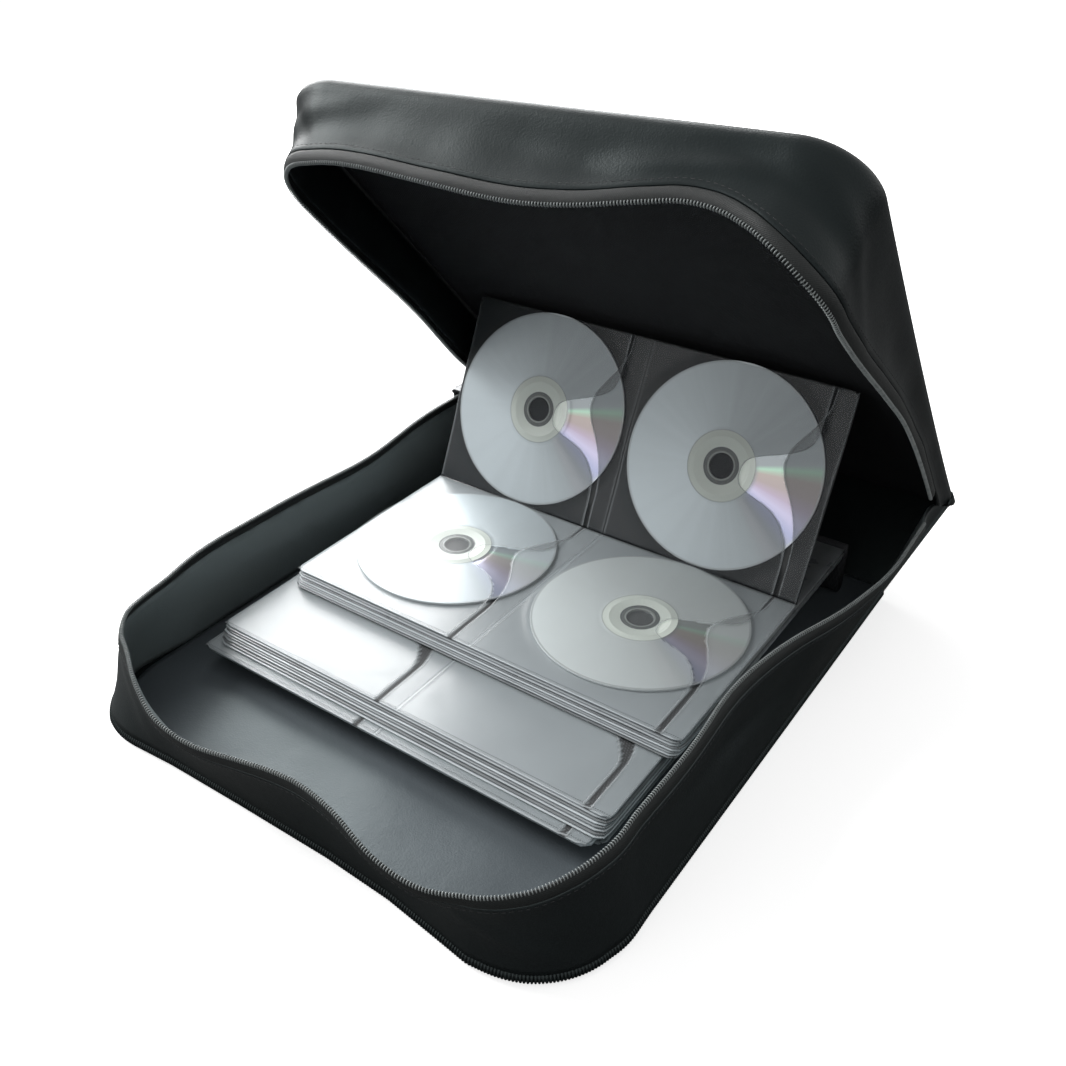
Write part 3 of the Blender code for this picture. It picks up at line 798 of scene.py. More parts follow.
@dataclass
class Gusset:
    """A zip tray's side wall. Its table gives, along its path, the height and outward lean of the rim."""

    outline: Outline
    table: tuple[tuple[float, float, float], ...]
    foot: float
    up: int
    hollow: float
    creases: tuple[Crease, ...] = ()
    thick: float = 2.2
    seam_drop: float = 0.8
    turn_over: float = 0.0
    band_rise: float = 5.3
    flare: tuple[tuple[float, float], ...] = ((0.0, 0.0), (1.0, 0.0))
    seed: int = 1
    spread: float = 0.0
    beyond: float = 0.0
    beyond_end: float = 3.5
    beyond_edges: tuple[float, float] = (0.0, 0.0)
    beyond_run: float = 61.7
    beyond_foot: float = 0.0
    beyond_slope: float = 0.0
    mark_step: float = 2.6

    def eased(self, where: float) -> tuple[float, float]:
        """Height and lean in degrees at a share of the path."""
        for (a, *first), (b, *last) in zip(self.table, self.table[1:]):
            if where <= b:
                t = min(max((where - a) / (b - a), 0.0), 1.0)
                t = t * t * (3 - 2 * t) * 0.5 + t * 0.5
                return tuple(p + (q - p) * t for p, q in zip(first, last))
        return self.table[-1][1:]

    def section(self, s: float) -> Section:
        """The wall's section at a distance along, its height and lean smoothed over five places.

        Args:
            s: The distance. It may lie beyond both ends, where the wall tapers to the fold.

        Returns:
            The section.
        """
        length = self.outline.length
        kept = min(max(s, 0.0), length)
        x, y, out_x, out_y = self.outline.at(kept)
        height, lean = (sum(pair) / 5 for pair in
                        zip(*(self.eased(kept / length + shift * 0.009) for shift in (-2, -1, 0, 1, 2))))
        foot = self.foot
        if self.spread:
            height = min(height, min(kept, length - kept) * math.tan(self.spread)) - self.foot * self.up
        past = max(0.0, -s, s - length)
        if past and self.beyond:
            share = past / self.beyond_run
            edge = self.beyond_edges[0 if s < 0 else 1]
            x, y = x + (edge - x) * share, y + past
            share = past / self.beyond
            height += (self.beyond_end - height) * share
            lean *= 1.0 - share
            eased = min(1.0, past / 6.0)
            foot += (self.beyond_foot + past * self.beyond_slope - foot) * eased
        return Section(x, y, out_x, out_y, height, math.radians(lean), foot)

    def place(self, s: float, along: float, inward: float) -> tuple[float, float, float]:
        """A point from its distance along the path, up the wall and in from its outer face."""
        x, y, out_x, out_y, height, lean, foot = self.section(s)
        if along < 0:
            lean = 0.0
        side = along * math.sin(lean) - inward * math.cos(lean)
        side += self.flared(s) * max(0.0, 1.0 - along / max(height, 8.0)) ** 2
        rise = along * math.cos(lean) + inward * math.sin(lean) * min(1.0, along / 6.0)
        return x + out_x * side, y + out_y * side, foot + self.up * rise

    def flared(self, s: float) -> float:
        """How far the foot stands out from its path."""
        return float(np.interp(s / self.outline.length, *zip(*self.flare)))

    def rim(self, s: float) -> float:
        """Height of the rim, without the zip."""
        return self.section(s).height

    def seam(self, s: float) -> float:
        """Height of the seam between the cloth and the zip's band."""
        return max(self.rim(s) - self.seam_drop, 0.5 * self.rim(s))

    def swell(self, s: float, along: float, top: float) -> float:
        """How far the cloth stands in from its flat face."""
        share = min(max(along / max(top, 1.0), 0.0), 1.0)
        room = min(1.0, top / 22.0)
        depth = self.hollow * math.sin(math.pi * share) ** 1.3
        depth += 0.55 * float(ripple(s, along * 1.6, 70.0, self.seed)) * math.sin(math.pi * share)
        for crease in self.creases:
            ax, ay = crease.start[0] * self.outline.length, crease.start[1]
            bx, by = crease.end[0] * self.outline.length, crease.end[1]
            run = (bx - ax) ** 2 + (by - ay) ** 2
            t = ((s - ax) * (bx - ax) + (along - ay) * (by - ay)) / run
            if -0.3 < t < 1.3:
                off = math.hypot(s - ax - t * (bx - ax), along - ay - t * (by - ay)) / crease.width
                fade = math.exp(-off * off) * math.sin(math.pi * min(max((t + 0.3) / 1.6, 0.0), 1.0))
                depth += crease.depth * fade * math.sin(math.pi * share) ** 0.5
        return depth * room

    def marks(self, start: float, end: float) -> list[float]:
        """Even distances along the path."""
        count = max(2, round((end - start) / self.mark_step))
        return [start + (end - start) * i / count for i in range(count + 1)]

    def strip(self, name: str, marks: Sequence[float], levels: Callable[[float], Levels], turn: Turn,
              material: bpy.types.Material) -> bpy.types.Object:
        """A closed strip along the wall.

        Args:
            name: The piece's name.
            marks: Distances along the path.
            levels: The section's points at a distance, as (up the wall, in from its face), in a ring.
            turn: Takes level points to their place.
            material: The finish.

        Returns:
            The piece.
        """
        points, chart, wear, inside = [], [], [], []
        for s in marks:
            ring = levels(s)
            walked, last = 0.0, ring[0]
            top = max(a for a, _ in ring)
            peak = [a for a, _ in ring].index(top)
            for number, (along, inward) in enumerate(ring):
                inside.append(1.0 if number > peak else 0.0)
                walked += math.hypot(along - last[0], inward - last[1])
                last = (along, inward)
                points.append(self.place(s, along, inward))
                chart.append((s, walked))
                wear.append(max(0.0, 1.0 - (top - along) / 2.5))
        count = len(points) // len(marks)
        made = mesh_piece(name, turn(np.array(points)), loft_faces(len(marks), count), material,
                          {"UVMap": np.array(chart)}, {"wear": np.array(wear), "inside": np.array(inside)})
        return outward(made)

    def cloth_levels(self, s: float) -> Levels:
        """Section of the cloth: up its outer face, over its folded edge and down inside."""
        top = self.seam(s)
        whole = self.rim(s) + self.band_rise
        end = self.swell(s, top, whole)
        outer = [(top * i / 15, self.swell(s, top * i / 15, whole)) for i in range(16)]
        outer += [(top + 0.3, end + 0.3), (top + 0.45, end + self.thick / 2)]
        outer += [(top + 0.3, end + self.thick - 0.3)]
        inner = [(top * i / 12, self.thick + self.swell(s, top * i / 12, whole)) for i in range(12, -1, -1)]
        if not self.turn_over:
            return outer + inner
        bend = [(math.radians(a), self.turn_over) for a in (90, 75, 60, 45, 30, 15)]
        over = [(-0.3 - (r + 1.5) * math.sin(a), r - r * math.cos(a)) for a, r in bend]
        under = [(-0.3 - (r + 0.3) * math.sin(a), r - (r - 1.2) * math.cos(a)) for a, r in reversed(bend)]
        return over + outer + inner + under

    def band_levels(self, s: float) -> Levels:
        """Section of the zip's band, from the seam to the teeth."""
        low, high = self.seam(s) + 0.65, self.rim(s) + self.band_rise
        steps = [low + (high - low) * i / 8 for i in range(9)]

        def depth(along: float) -> float:
            share = (along - low) / (high - low)
            return 0.2 + 2.0 * share * share + self.swell(s, along, high)
        outer = [(low, depth(low) + 0.5)] + [(a + 0.15 * (a == low), depth(a)) for a in steps]
        inner = [(a, depth(a) + 1.5) for a in reversed(steps)]
        return outer + [(high + 0.5, depth(high) + 0.4), (high + 0.5, depth(high) + 1.1)] + inner

    def path(self, marks: Sequence[float], rise: float, inward: float, turn: Turn) -> tuple[Points, Points]:
        """A line along the wall for the zip's teeth or stitches, with its upward direction."""
        line = turn(np.array([self.place(s, self.rim(s) + rise, inward) for s in marks]))
        above = turn(np.array([self.place(s, self.rim(s) + rise + 1.0, inward) for s in marks]))
        return line, above - line


# Geometry Nodes


@dataclass
class Repeat:
    """Copies of a small shape along a line, made by a Geometry Nodes tree and kept as a plain mesh."""

    name: str
    pitch: float
    material: bpy.types.Material
    sizes: dict[str, float]

    def line(self, points: Points, above: Points) -> bpy.types.Object:
        """A line of points that carries its upward direction."""
        mesh = bpy.data.meshes.new(self.name + "_line")
        mesh.from_pydata((points * MM).tolist(), [(i, i + 1) for i in range(len(points) - 1)], [])
        layer = mesh.attributes.new("above", "FLOAT_VECTOR", "POINT")
        layer.data.foreach_set("vector", above.astype(np.float32).ravel())
        return add_object(self.name, mesh)

    def shape(self, tree: bpy.types.NodeTree, sizes: bpy.types.Node) -> bpy.types.NodeSocket:
        """The copied shape, given by the kind of repeat."""
        raise NotImplementedError

    def build(self, points: Points, above: Points) -> bpy.types.Object:
        # Pale inside colour: partly the lining's lighter tone, partly painted highlight from the sky.
        """Run the tree and keep its result.

        Args:
            points: The line's points, in millimetres.
            above: The direction in which each copy's X points.

        Returns:
            A plain mesh object.
        """
        made = self.line(points, above)
        tree = bpy.data.node_groups.new(self.name + "_tree", "GeometryNodeTree")
        face = tree.interface
        face.new_socket("Geometry", in_out="INPUT", socket_type="NodeSocketGeometry")
        face.new_socket("Geometry", in_out="OUTPUT", socket_type="NodeSocketGeometry")
        sockets = {title: face.new_socket(title, in_out="INPUT", socket_type="NodeSocketFloat")
                   for title in ("Pitch", *self.sizes)}
        sockets["Finish"] = face.new_socket("Finish", in_out="INPUT", socket_type="NodeSocketMaterial")
        given = add_node(tree, "NodeGroupInput")
        curve = add_node(tree, "GeometryNodeMeshToCurve", None, {0: given.outputs["Geometry"]})
        spaced = add_node(tree, "GeometryNodeResampleCurve", {"mode": "LENGTH"},
                          {"Curve": curve.outputs[0], "Length": given.outputs["Pitch"]})
        direction = add_node(tree, "GeometryNodeInputNamedAttribute", {"data_type": "FLOAT_VECTOR"},
                             {"Name": "above"})
        tangent = add_node(tree, "GeometryNodeInputTangent")
        turn = add_node(tree, "FunctionNodeAxesToRotation", {"primary_axis": "Z", "secondary_axis": "X"},
                        {0: tangent.outputs[0], 1: direction.outputs[0]})
        copies = add_node(tree, "GeometryNodeInstanceOnPoints", None,
                          {"Points": spaced.outputs[0], "Instance": self.shape(tree, given),
                           "Rotation": turn.outputs[0]})
        real = add_node(tree, "GeometryNodeRealizeInstances", None, {0: copies.outputs[0]})
        smooth = add_node(tree, "GeometryNodeSetShadeSmooth", None, {0: real.outputs[0]})
        finish = add_node(tree, "GeometryNodeSetMaterial", None,
                          {"Geometry": smooth.outputs[0], "Material": given.outputs["Finish"]})
        add_node(tree, "NodeGroupOutput", None, {0: finish.outputs[0]})
        step = made.modifiers.new("Repeat", "NODES")
        step.node_group = tree
        for title, size in {"Pitch": self.pitch, **self.sizes}.items():
            step[sockets[title].identifier] = size * MM
        step[sockets["Finish"].identifier] = self.material
        graph = bpy.context.evaluated_depsgraph_get()
        graph.update()
        mesh = bpy.data.meshes.new_from_object(made.evaluated_get(graph))
        made.modifiers.clear()
        made.data = mesh
        bpy.data.node_groups.remove(tree)
        return made


@dataclass
class Loops(Repeat):
    """Copies of a bent thread, an arc of the size Loop with a round section of the size Filament."""

    steps: int
    sweep: float

    def shape(self, tree: bpy.types.NodeTree, sizes: bpy.types.Node) -> bpy.types.NodeSocket:
        """An arc with a round section."""
        arc = add_node(tree, "GeometryNodeCurveArc", {"mode": "RADIUS"},
                       {"Resolution": self.steps, "Radius": sizes.outputs["Loop"],
                        "Start Angle": -self.sweep / 2, "Sweep Angle": self.sweep})
        ring = add_node(tree, "GeometryNodeCurvePrimitiveCircle", {"mode": "RADIUS"},
                        {"Resolution": 6, "Radius": sizes.outputs["Filament"]})
        thread = add_node(tree, "GeometryNodeCurveToMesh", None,
                          {0: arc.outputs[0], 1: ring.outputs[0], "Fill Caps": True})
        return thread.outputs[0]


@dataclass
class CoilTeeth(Loops):
    """Loops of a coil zip, each an arc of monofilament round the band's edge."""

    steps: int = 7
    sweep: float = math.radians(250.0)


@dataclass
class Ribs(Loops):
    """Ribs of a corded piping, each a half ring of folded leatherette."""

    steps: int = 9
    sweep: float = math.pi * 1.04


@dataclass
class Stitches(Repeat):
    """A row of sewn stitches, each a short rounded thread along the line."""

    def shape(self, tree: bpy.types.NodeTree, sizes: bpy.types.Node) -> bpy.types.NodeSocket:
        """A short thread with drawn-in ends."""
        ball = add_node(tree, "GeometryNodeMeshUVSphere", None, {"Segments": 6, "Rings": 5, "Radius": 1.0})
        thick, long = sizes.outputs["Thread"], sizes.outputs["Stitch"]
        scale = add_node(tree, "ShaderNodeCombineXYZ", None, {0: thick, 1: thick, 2: long})
        thread = add_node(tree, "GeometryNodeTransform", None,
                          {"Geometry": ball.outputs[0], "Scale": scale.outputs[0]})
        return thread.outputs[0]


# The case's main measures


@dataclass(frozen=True)
class CaseMeasures:
    """Sizes that several sub-assemblies share, in millimetres and radians."""

    half_width: float = 159.0
    front: float = -175.0
    back: float = 175.0
    corner: float = 45.0
    panel: float = 5.4
    foot: float = 5.3
    wall_inset: float = 1.5
    hinge_y: float = 236.7
    hinge_z: float = 45.5
    elevation: float = math.radians(46.5)
    lid_left: float = -146.0
    lid_right: float = 176.0
    lid_length: float = 360.0
    lid_left_corner: float = 45.0
    lid_right_corner: float = 34.0
    lid_dome: float = 10.0
    lid_draw: tuple[float, float] = (9.0, -8.0)
    lid_twist: tuple[float, float] = (-1.5, 6.5)
    spine: float = 4.6
    floor_top: float = 6.6
    leaf: float = 1.25
    leaf_slot: float = 0.45
    fold_y: float = 79.5
    fold_z: float = 41.35
    top_left: float = -117.5
    top_front: float = -54.0
    column: float = 126.75
    raised_angle: float = math.radians(65.4)
    raised: float = 121.0
    disc_along: float = 62.3

    @property
    def base_outline(self) -> Outline:
        """The base's outer outline."""
        return Outline(-self.half_width, self.half_width, self.front, self.back, self.corner, self.corner)

    @property
    def lid_outline(self) -> Outline:
        """The lid's outer outline, drawn level with its hinge at the origin."""
        return Outline(self.lid_left, self.lid_right, -self.lid_length, -0.6,
                       self.lid_left_corner, self.lid_right_corner)

    @property
    def spine_dir(self) -> tuple[float, float]:
        """Direction up the spine, as y and z."""
        run, rise = self.hinge_y - self.back - GAP, self.hinge_z - 0.3
        return run / math.hypot(run, rise), rise / math.hypot(run, rise)

    def level(self, points: Points) -> Points:
        """Leave points where they are."""
        return points

    def on_lid(self, points: Points) -> Points:
        """Take points drawn with the lid level to the open lid."""
        c, s = math.cos(-self.elevation), math.sin(-self.elevation)
        share = np.clip(-points[:, 1] / self.lid_length, 0.0, 1.1)
        right = (points[:, 0] - self.lid_left) / (self.lid_right - self.lid_left)
        x = points[:, 0] + self.lid_draw[0] * (1 - right) * share**1.5
        x = x + self.lid_draw[1] * right * share**0.8
        y = points[:, 1]
        z = points[:, 2] + share**2 * (self.lid_twist[0] * (1 - right) + self.lid_twist[1] * right)
        return np.column_stack([x, self.hinge_y + y * c - z * s, self.hinge_z + y * s + z * c])

    def on_raised(self, points: Points) -> Points:
        """Take points drawn level, from the fold, to the raised row."""
        c, s = math.cos(self.raised_angle), math.sin(self.raised_angle)
        y, z = points[:, 1], points[:, 2]
        return np.column_stack([points[:, 0], self.fold_y + y * c - z * s, self.fold_z + y * s + z * c])


SIZES = CaseMeasures()


@dataclass
class Pad:
    """A panel of foam and board in leatherette, with a rolled edge gathered at its corners."""

    name: str
    outline: Outline
    face: float
    thick: float
    dome: float
    roll: float
    turn: Turn
    outer_up: bool
    seed: int
    flare: Callable[[float], float]
    full: float = 0.5

    def build(self, material: bpy.types.Material) -> bpy.types.Object:
        """Loft the pad from the middle of its outer face round its edge to the middle of its inner face.

        Args:
            material: The finish.

        Returns:
            The piece.
        """
        edge = [self.outline.at(s) for s in np.linspace(0.0, self.outline.length - 0.01, 300)]
        back = np.linspace(self.outline.right, self.outline.left, 60)[1:-1]
        edge += [(x, self.outline.back, 0.0, 1.0) for x in back]
        edge = np.array(edge)
        mid, half = self.outline.middle, self.outline.half
        walked = np.concatenate([[0.0], np.cumsum(np.hypot(*np.diff(edge[:, :2], axis=0).T))])
        gather = np.array([self.outline.corner_share(s) for s in walked])
        edge[:, :2] += edge[:, 2:] * np.array([[self.flare(min(s, self.outline.length))] for s in walked])

        def arch(spots: Points) -> Points:
            across, along = ((spots - mid) / half).T
            return self.dome * np.clip(1 - across**4, 0, 1) * np.clip(1 - along**4, 0, 1)

        rings, wear, ribs = [], [], []
        sign = 1.0 if self.outer_up else -1.0
        inner = edge[:, :2] - edge[:, 2:] * self.roll
        for share in (0.0, 0.12, 0.3, 0.5, 0.68, 0.82, 0.92, 0.97, 1.0):
            spots = mid + (inner - mid) * share
            lift = arch(spots) + self.face * sign
            soft = ripple(spots[:, 0], spots[:, 1], 130.0, self.seed) * 0.5 * (1 - share**6)
            rings.append(np.column_stack([spots, sign * (lift + soft)]))
            wear.append(0.0)
            ribs.append(0.0 if share < 0.97 else 0.4)
        for turn in (15, 30, 45, 60, 75, 90, 110, 130, 150, 170, 180):
            angle = math.radians(turn)
            upper = self.thick * self.full
            if turn <= 90:
                depth, out = upper, self.roll * math.sin(angle)
            else:
                depth = self.thick - upper
                out = self.roll - depth * (1.0 - math.sin(angle))
            spots = inner + edge[:, 2:] * out
            drop = upper - depth * math.cos(angle)
            lift = arch(inner) + self.face * sign
            rings.append(np.column_stack([spots, sign * (lift - drop)]))
            wear.append(math.sin(angle) ** 2)
            ribs.append(math.sin(angle))
        for share in (0.9, 0.6, 0.3, 0.0):
            spots = mid + (inner - mid) * share
            lift = arch(spots) + self.face * sign
            rings.append(np.column_stack([spots, sign * (lift - self.thick)]))
            wear.append(0.0)
            ribs.append(0.0)
        points = np.concatenate(rings)
        chart = points[:, :2]
        count = len(edge)
        strip = np.column_stack([np.tile(walked, len(rings)), np.repeat(np.arange(len(rings)) * 1.0, count)])
        made = mesh_piece(self.name, self.turn(points), loft_faces(len(rings), count, caps=False), material,
                          {"UVMap": chart, "Edge": strip},
                          {"wear": np.repeat(wear, count), "gather": np.outer(ribs, gather).ravel()})
        with editing(made.data) as work:
            bmesh.ops.remove_doubles(work, verts=work.verts, dist=0.02 * MM)
            bmesh.ops.recalc_face_normals(work, faces=work.faces)
        return made


def sheet_piece(name: str, grid: Points, thick: float, material: bpy.types.Material, chart: Points,
                values: dict[str, Points] | None = None) -> bpy.types.Object:
    """A closed thin sheet from a grid of points on its upper face.

    Args:
        name: The piece's name.
        grid: Points by row and column, in millimetres.
        thick: The sheet's thickness, below the grid.
        material: The finish.
        chart: Chart pairs for the grid's points.
        values: Numbers for the grid's points.

    Returns:
        The piece.
    """
    rows, columns = grid.shape[:2]
    across = np.gradient(grid, axis=1)
    along = np.gradient(grid, axis=0)
    normal = np.cross(across, along)
    normal /= np.maximum(np.linalg.norm(normal, axis=2, keepdims=True), 1e-9)
    points = np.concatenate([grid.reshape(-1, 3), (grid - normal * thick).reshape(-1, 3)])
    layer = rows * columns
    faces = []
    for r in range(rows - 1):
        for c in range(columns - 1):
            a = r * columns + c
            faces.append([a, a + 1, a + columns + 1, a + columns])
            faces.append([layer + a, layer + a + columns, layer + a + columns + 1, layer + a + 1])
    ring = list(range(columns)) + [r * columns + columns - 1 for r in range(1, rows)]
    ring += [(rows - 1) * columns + c for c in range(columns - 2, -1, -1)]
    ring += [r * columns for r in range(rows - 2, 0, -1)]
    for a, b in zip(ring, ring[1:] + ring[:1]):
        faces.append([a, layer + a, layer + b, b])
    made = mesh_piece(name, points, faces, material, {"UVMap": np.concatenate([chart.reshape(-1, 2)] * 2)},
                      {key: np.concatenate([v.ravel()] * 2) for key, v in (values or {}).items()})
    return outward(made)


# Teeth and stitches in millimetres. A place is how far above the band's edge or the seam, and how far in.
TOOTH = {"Loop": 0.85, "Filament": 0.31}
TOOTH_PITCH = 1.45
TOOTH_PLACE = (0.5, 2.95)
STITCH = {"Thread": 0.16, "Stitch": 1.1}
STITCH_PITCH = 3.3
STITCH_PLACE = (-1.6, 0.02)


@dataclass
class Tray:
    """What both trays have: finishes, and one half of the zip on a wall."""

    m: CaseMeasures
    leather: bpy.types.Material
    lining: bpy.types.Material
    band: bpy.types.Material
    teeth: bpy.types.Material
    thread: bpy.types.Material

    def zip_half(self, name: str, wall: Gusset, marks: Sequence[float], body: Body, turn: Turn) -> None:
        """Sew a half of the zip to a wall: its band, its teeth and its row of stitches.

        Args:
            name: The tray's name.
            wall: The tray's gusset.
            marks: Distances along the wall.
            body: What the tray moves with.
            turn: Takes level points to their place.
        """
        band = wall.strip(f"{name}_zip_band", marks, wall.band_levels, turn, self.band)
        ride(band, body, Slot.ZIP_TAPE, f"{name}_zip_tape")
        cloth(band, marks[-1] - marks[0])
        line, above = wall.path(marks, wall.band_rise + TOOTH_PLACE[0], TOOTH_PLACE[1], turn)
        teeth = CoilTeeth(f"{name}_zip_teeth", TOOTH_PITCH, self.teeth, TOOTH)
        ride(teeth.build(line, above), body, Slot.ZIP_COIL, f"{name}_zip_coil")
        line, above = wall.path(marks, -wall.seam_drop + STITCH_PLACE[0], STITCH_PLACE[1], turn)
        sewn = Stitches(f"{name}_stitches", STITCH_PITCH, self.thread, STITCH)
        ride(sewn.build(line, above), body, Slot.ZIP_TAPE)


@dataclass
class BaseTray(Tray):
    """The lower tray: pad, gusset, zip half, floor lining and spine."""

    gathered: bpy.types.Material
    # The zip stops short of the wall's ends. The floor's waves are calm near the leaves and pressed under them.
    zip_inset: float = 6.0
    roll: float = 2.6
    floor_cut: tuple[float, float] = (0.318, 0.345)
    floor_grid: tuple[int, int] = (100, 90)
    calm_from: float = -118.0
    pressed_from: float = -112.0
    spine_rows: int = 22
    spine_columns: int = 60
    spine_fold: float = 7.0
    table: tuple[tuple[float, float, float], ...] = (
        (0.000, 54.0, -2.0), (0.068, 54.0, -2.0), (0.130, 46.5, -3.0), (0.200, 47.0, 2.0),
        (0.270, 50.0, -1.0), (0.320, 53.0, -14.0), (0.375, 54.0, -4.0), (0.397, 53.0, 9.0),
        (0.420, 50.5, 23.0), (0.442, 46.5, 29.0), (0.468, 45.5, 26.0), (0.500, 48.0, 18.0),
        (0.535, 50.0, 17.0), (0.560, 51.0, 25.0), (0.581, 48.5, 31.0), (0.602, 46.5, 30.0),
        (0.618, 47.0, 24.0), (0.633, 50.0, 13.0), (0.650, 54.0, 6.0), (0.675, 55.0, -3.0),
        (0.740, 55.0, -2.0), (0.790, 55.0, -6.0), (0.830, 55.0, 0.0), (0.880, 55.0, 14.0),
        (0.930, 55.0, 21.0), (1.000, 53.0, 19.0))
    flare: tuple[tuple[float, float], ...] = (
        (0.0, 0.0), (0.29, 0.0), (0.315, 3.0), (0.34, 7.5), (0.36, 8.0), (0.38, 6.0), (0.41, 4.0),
        (0.46, 3.0), (0.52, 2.5), (0.56, 4.0), (0.59, 7.5), (0.61, 10.0), (0.635, 7.0),
        (0.67, 1.0), (0.70, 0.0), (1.0, 0.0))
    creases: tuple[Crease, ...] = (
        Crease((0.31, 10.0), (0.36, 34.0), 20.0, -3.5), Crease((0.40, 6.0), (0.375, 44.0), 6.0, -1.2),
        Crease((0.565, 5.0), (0.61, 44.0), 8.0, 1.8), Crease((0.65, 5.0), (0.60, 40.0), 5.0, -1.6),
        Crease((0.70, 40.0), (0.84, 26.0), 8.0, 2.6), Crease((0.08, 18.0), (0.24, 30.0), 9.0, 1.2))

    def gusset(self) -> Gusset:
        """The side wall."""
        m = self.m
        along = m.spine_dir
        edges = (m.lid_left + m.wall_inset, m.lid_right - m.wall_inset)
        return Gusset(m.base_outline.inset(m.wall_inset), self.table, m.foot, 1, 1.2, self.creases, seed=5,
                      flare=self.flare, beyond=51.0, beyond_edges=edges, beyond_run=m.hinge_y - m.back,
                      beyond_foot=0.3 + m.spine / along[0] + GAP, beyond_slope=along[1] / along[0])

    def build(self) -> None:
        """Make and seat every piece."""
        m = self.m
        wall = self.gusset()
        run = wall.outline.length
        edge = m.base_outline.inset(0.8, -0.1)
        whole = edge.length
        pad = Pad("base_pad", edge, 0.0, m.panel, 0.0, self.roll, m.level, False, 3,
                  flare=lambda s: wall.flared(s / whole * run)).build(self.gathered)
        ride(pad, Body.CASE, Slot.LEATHERETTE, "base_panel")
        self.piping(edge, wall)
        marks = wall.marks(-wall.beyond, run + wall.beyond)
        side = wall.strip("base_gusset_cloth", marks, wall.cloth_levels, m.level, self.leather)
        ride(side, Body.CASE, Slot.LEATHERETTE, "base_gusset")
        cloth(side, run + 2 * wall.beyond)
        zip_marks = wall.marks(self.zip_inset, run - self.zip_inset)
        self.zip_half("base", wall, zip_marks, Body.CASE, m.level)
        self.floor()
        self.spine()

    def piping(self, edge: Outline, wall: Gusset) -> None:
        """The ribbed piping round the pad's edge.

        Args:
            edge: The pad's outline.
            wall: The gusset, whose foot gives the flare.
        """
        spots = []
        for s in np.linspace(2.0, edge.length - 2.0, 700):
            x, y, out_x, out_y = edge.at(s)
            shift = wall.flared(s / edge.length * wall.outline.length) - self.roll
            spots.append((x + out_x * shift, y + out_y * shift, self.m.panel / 2, out_x, out_y, 0.0))
        spots = np.array(spots)
        ribs = Ribs("base_piping_ribs", 1.5, self.gathered, {"Loop": 2.75, "Filament": 0.62})
        ride(ribs.build(spots[:, :3], spots[:, 3:]), Body.CASE, Slot.LEATHERETTE, "base_piping")

    def floor(self) -> None:
        """The floor lining: a loose sheet with soft waves."""
        m = self.m
        rows, columns = self.floor_grid
        xs = np.linspace(-1, 1, columns)
        grid, chart = np.zeros((rows, columns, 3)), np.zeros((rows, columns, 2))
        inner = m.base_outline.inset(4.2, 0.6)
        inner = replace(inner, front=inner.front - 4.5, left_corner=inner.left_corner + 2.0)
        for r, v in enumerate(np.linspace(-1, 1, rows)):
            y = inner.middle[1] + v * inner.half[1]
            cut = max(0.0, inner.front + inner.left_corner - y)
            half = inner.right - inner.right_corner + math.sqrt(max(0.0, inner.right_corner**2 - cut**2))
            x = xs * half
            edge = np.clip((1 - abs(v)) * 6, 0, 1) * np.clip((1 - np.abs(xs)) * 6, 0, 1)
            calm = 0.55 if y > self.calm_from else 1.0
            z = m.floor_top + 0.1 + 0.75 * ripple(x, y, 95.0, 11) * edge * calm
            z = np.where(y > self.pressed_from, np.minimum(z, m.floor_top + 0.25), z)
            grid[r] = np.column_stack([x, np.full_like(x, y), z])
            chart[r] = np.column_stack([x, np.full_like(x, y)])
        made = sheet_piece("floor_lining", grid, 0.7, self.lining, chart)
        ride(made, Body.CASE, Slot.FLOOR_LINING, "base_lining")
        min(self.floor_cut[0] * self.floor_cut[1], one_side(made))

    def spine(self) -> None:
        """The leaning spine between the base and the lid."""
        m = self.m
        along = np.array([0.0, *m.spine_dir])
        inside = np.array([0.0, -along[2], along[1]])
        low = np.array([0.0, m.back + GAP, 0.3])
        span = math.hypot(m.hinge_y - low[1], m.hinge_z - low[2]) - 0.8
        foot = m.half_width - 2.0
        outer = np.arange(2 * self.spine_columns) < self.spine_columns
        rings, wear, chart = [], [], []
        for r in range(self.spine_rows + 1):
            v = r / self.spine_rows
            left = -foot + (m.lid_left + 2.0 + foot) * v
            right = foot + (m.lid_right - 2.0 - foot) * v
            xs = np.concatenate([np.linspace(left, right, self.spine_columns),
                                 np.linspace(right, left, self.spine_columns)])
            u = (xs - left) / (right - left)
            edge = (1 - (2 * u - 1) ** 8) * min(1.0, 9 * v, 9 * (1 - v))
            lift = np.where(outer, -1.0 * edge, m.spine - 0.6 * (1 - edge))
            lift = lift + np.where(outer, -0.35, 0.0) * ripple(xs, v * span, 60.0, 21) * edge
            reach = np.where(outer | (r < self.spine_rows), v * span, span - self.spine_fold)
            ring = low + np.outer(reach, along) + np.outer(lift, inside)
            ring[:, 0] = xs
            rings.append(ring)
            wear.append(np.where(outer, 1 - edge, 0.0))
            chart.append(np.column_stack([xs, v * span + np.where(outer, 0, 80.0)]))
        made = mesh_piece("spine_pad", np.concatenate(rings), loft_faces(len(rings), len(outer)), self.leather,
                          {"UVMap": np.concatenate(chart)}, {"wear": np.concatenate(wear)})
        ride(outward(made), Body.CASE, Slot.LEATHERETTE, "spine_panel")


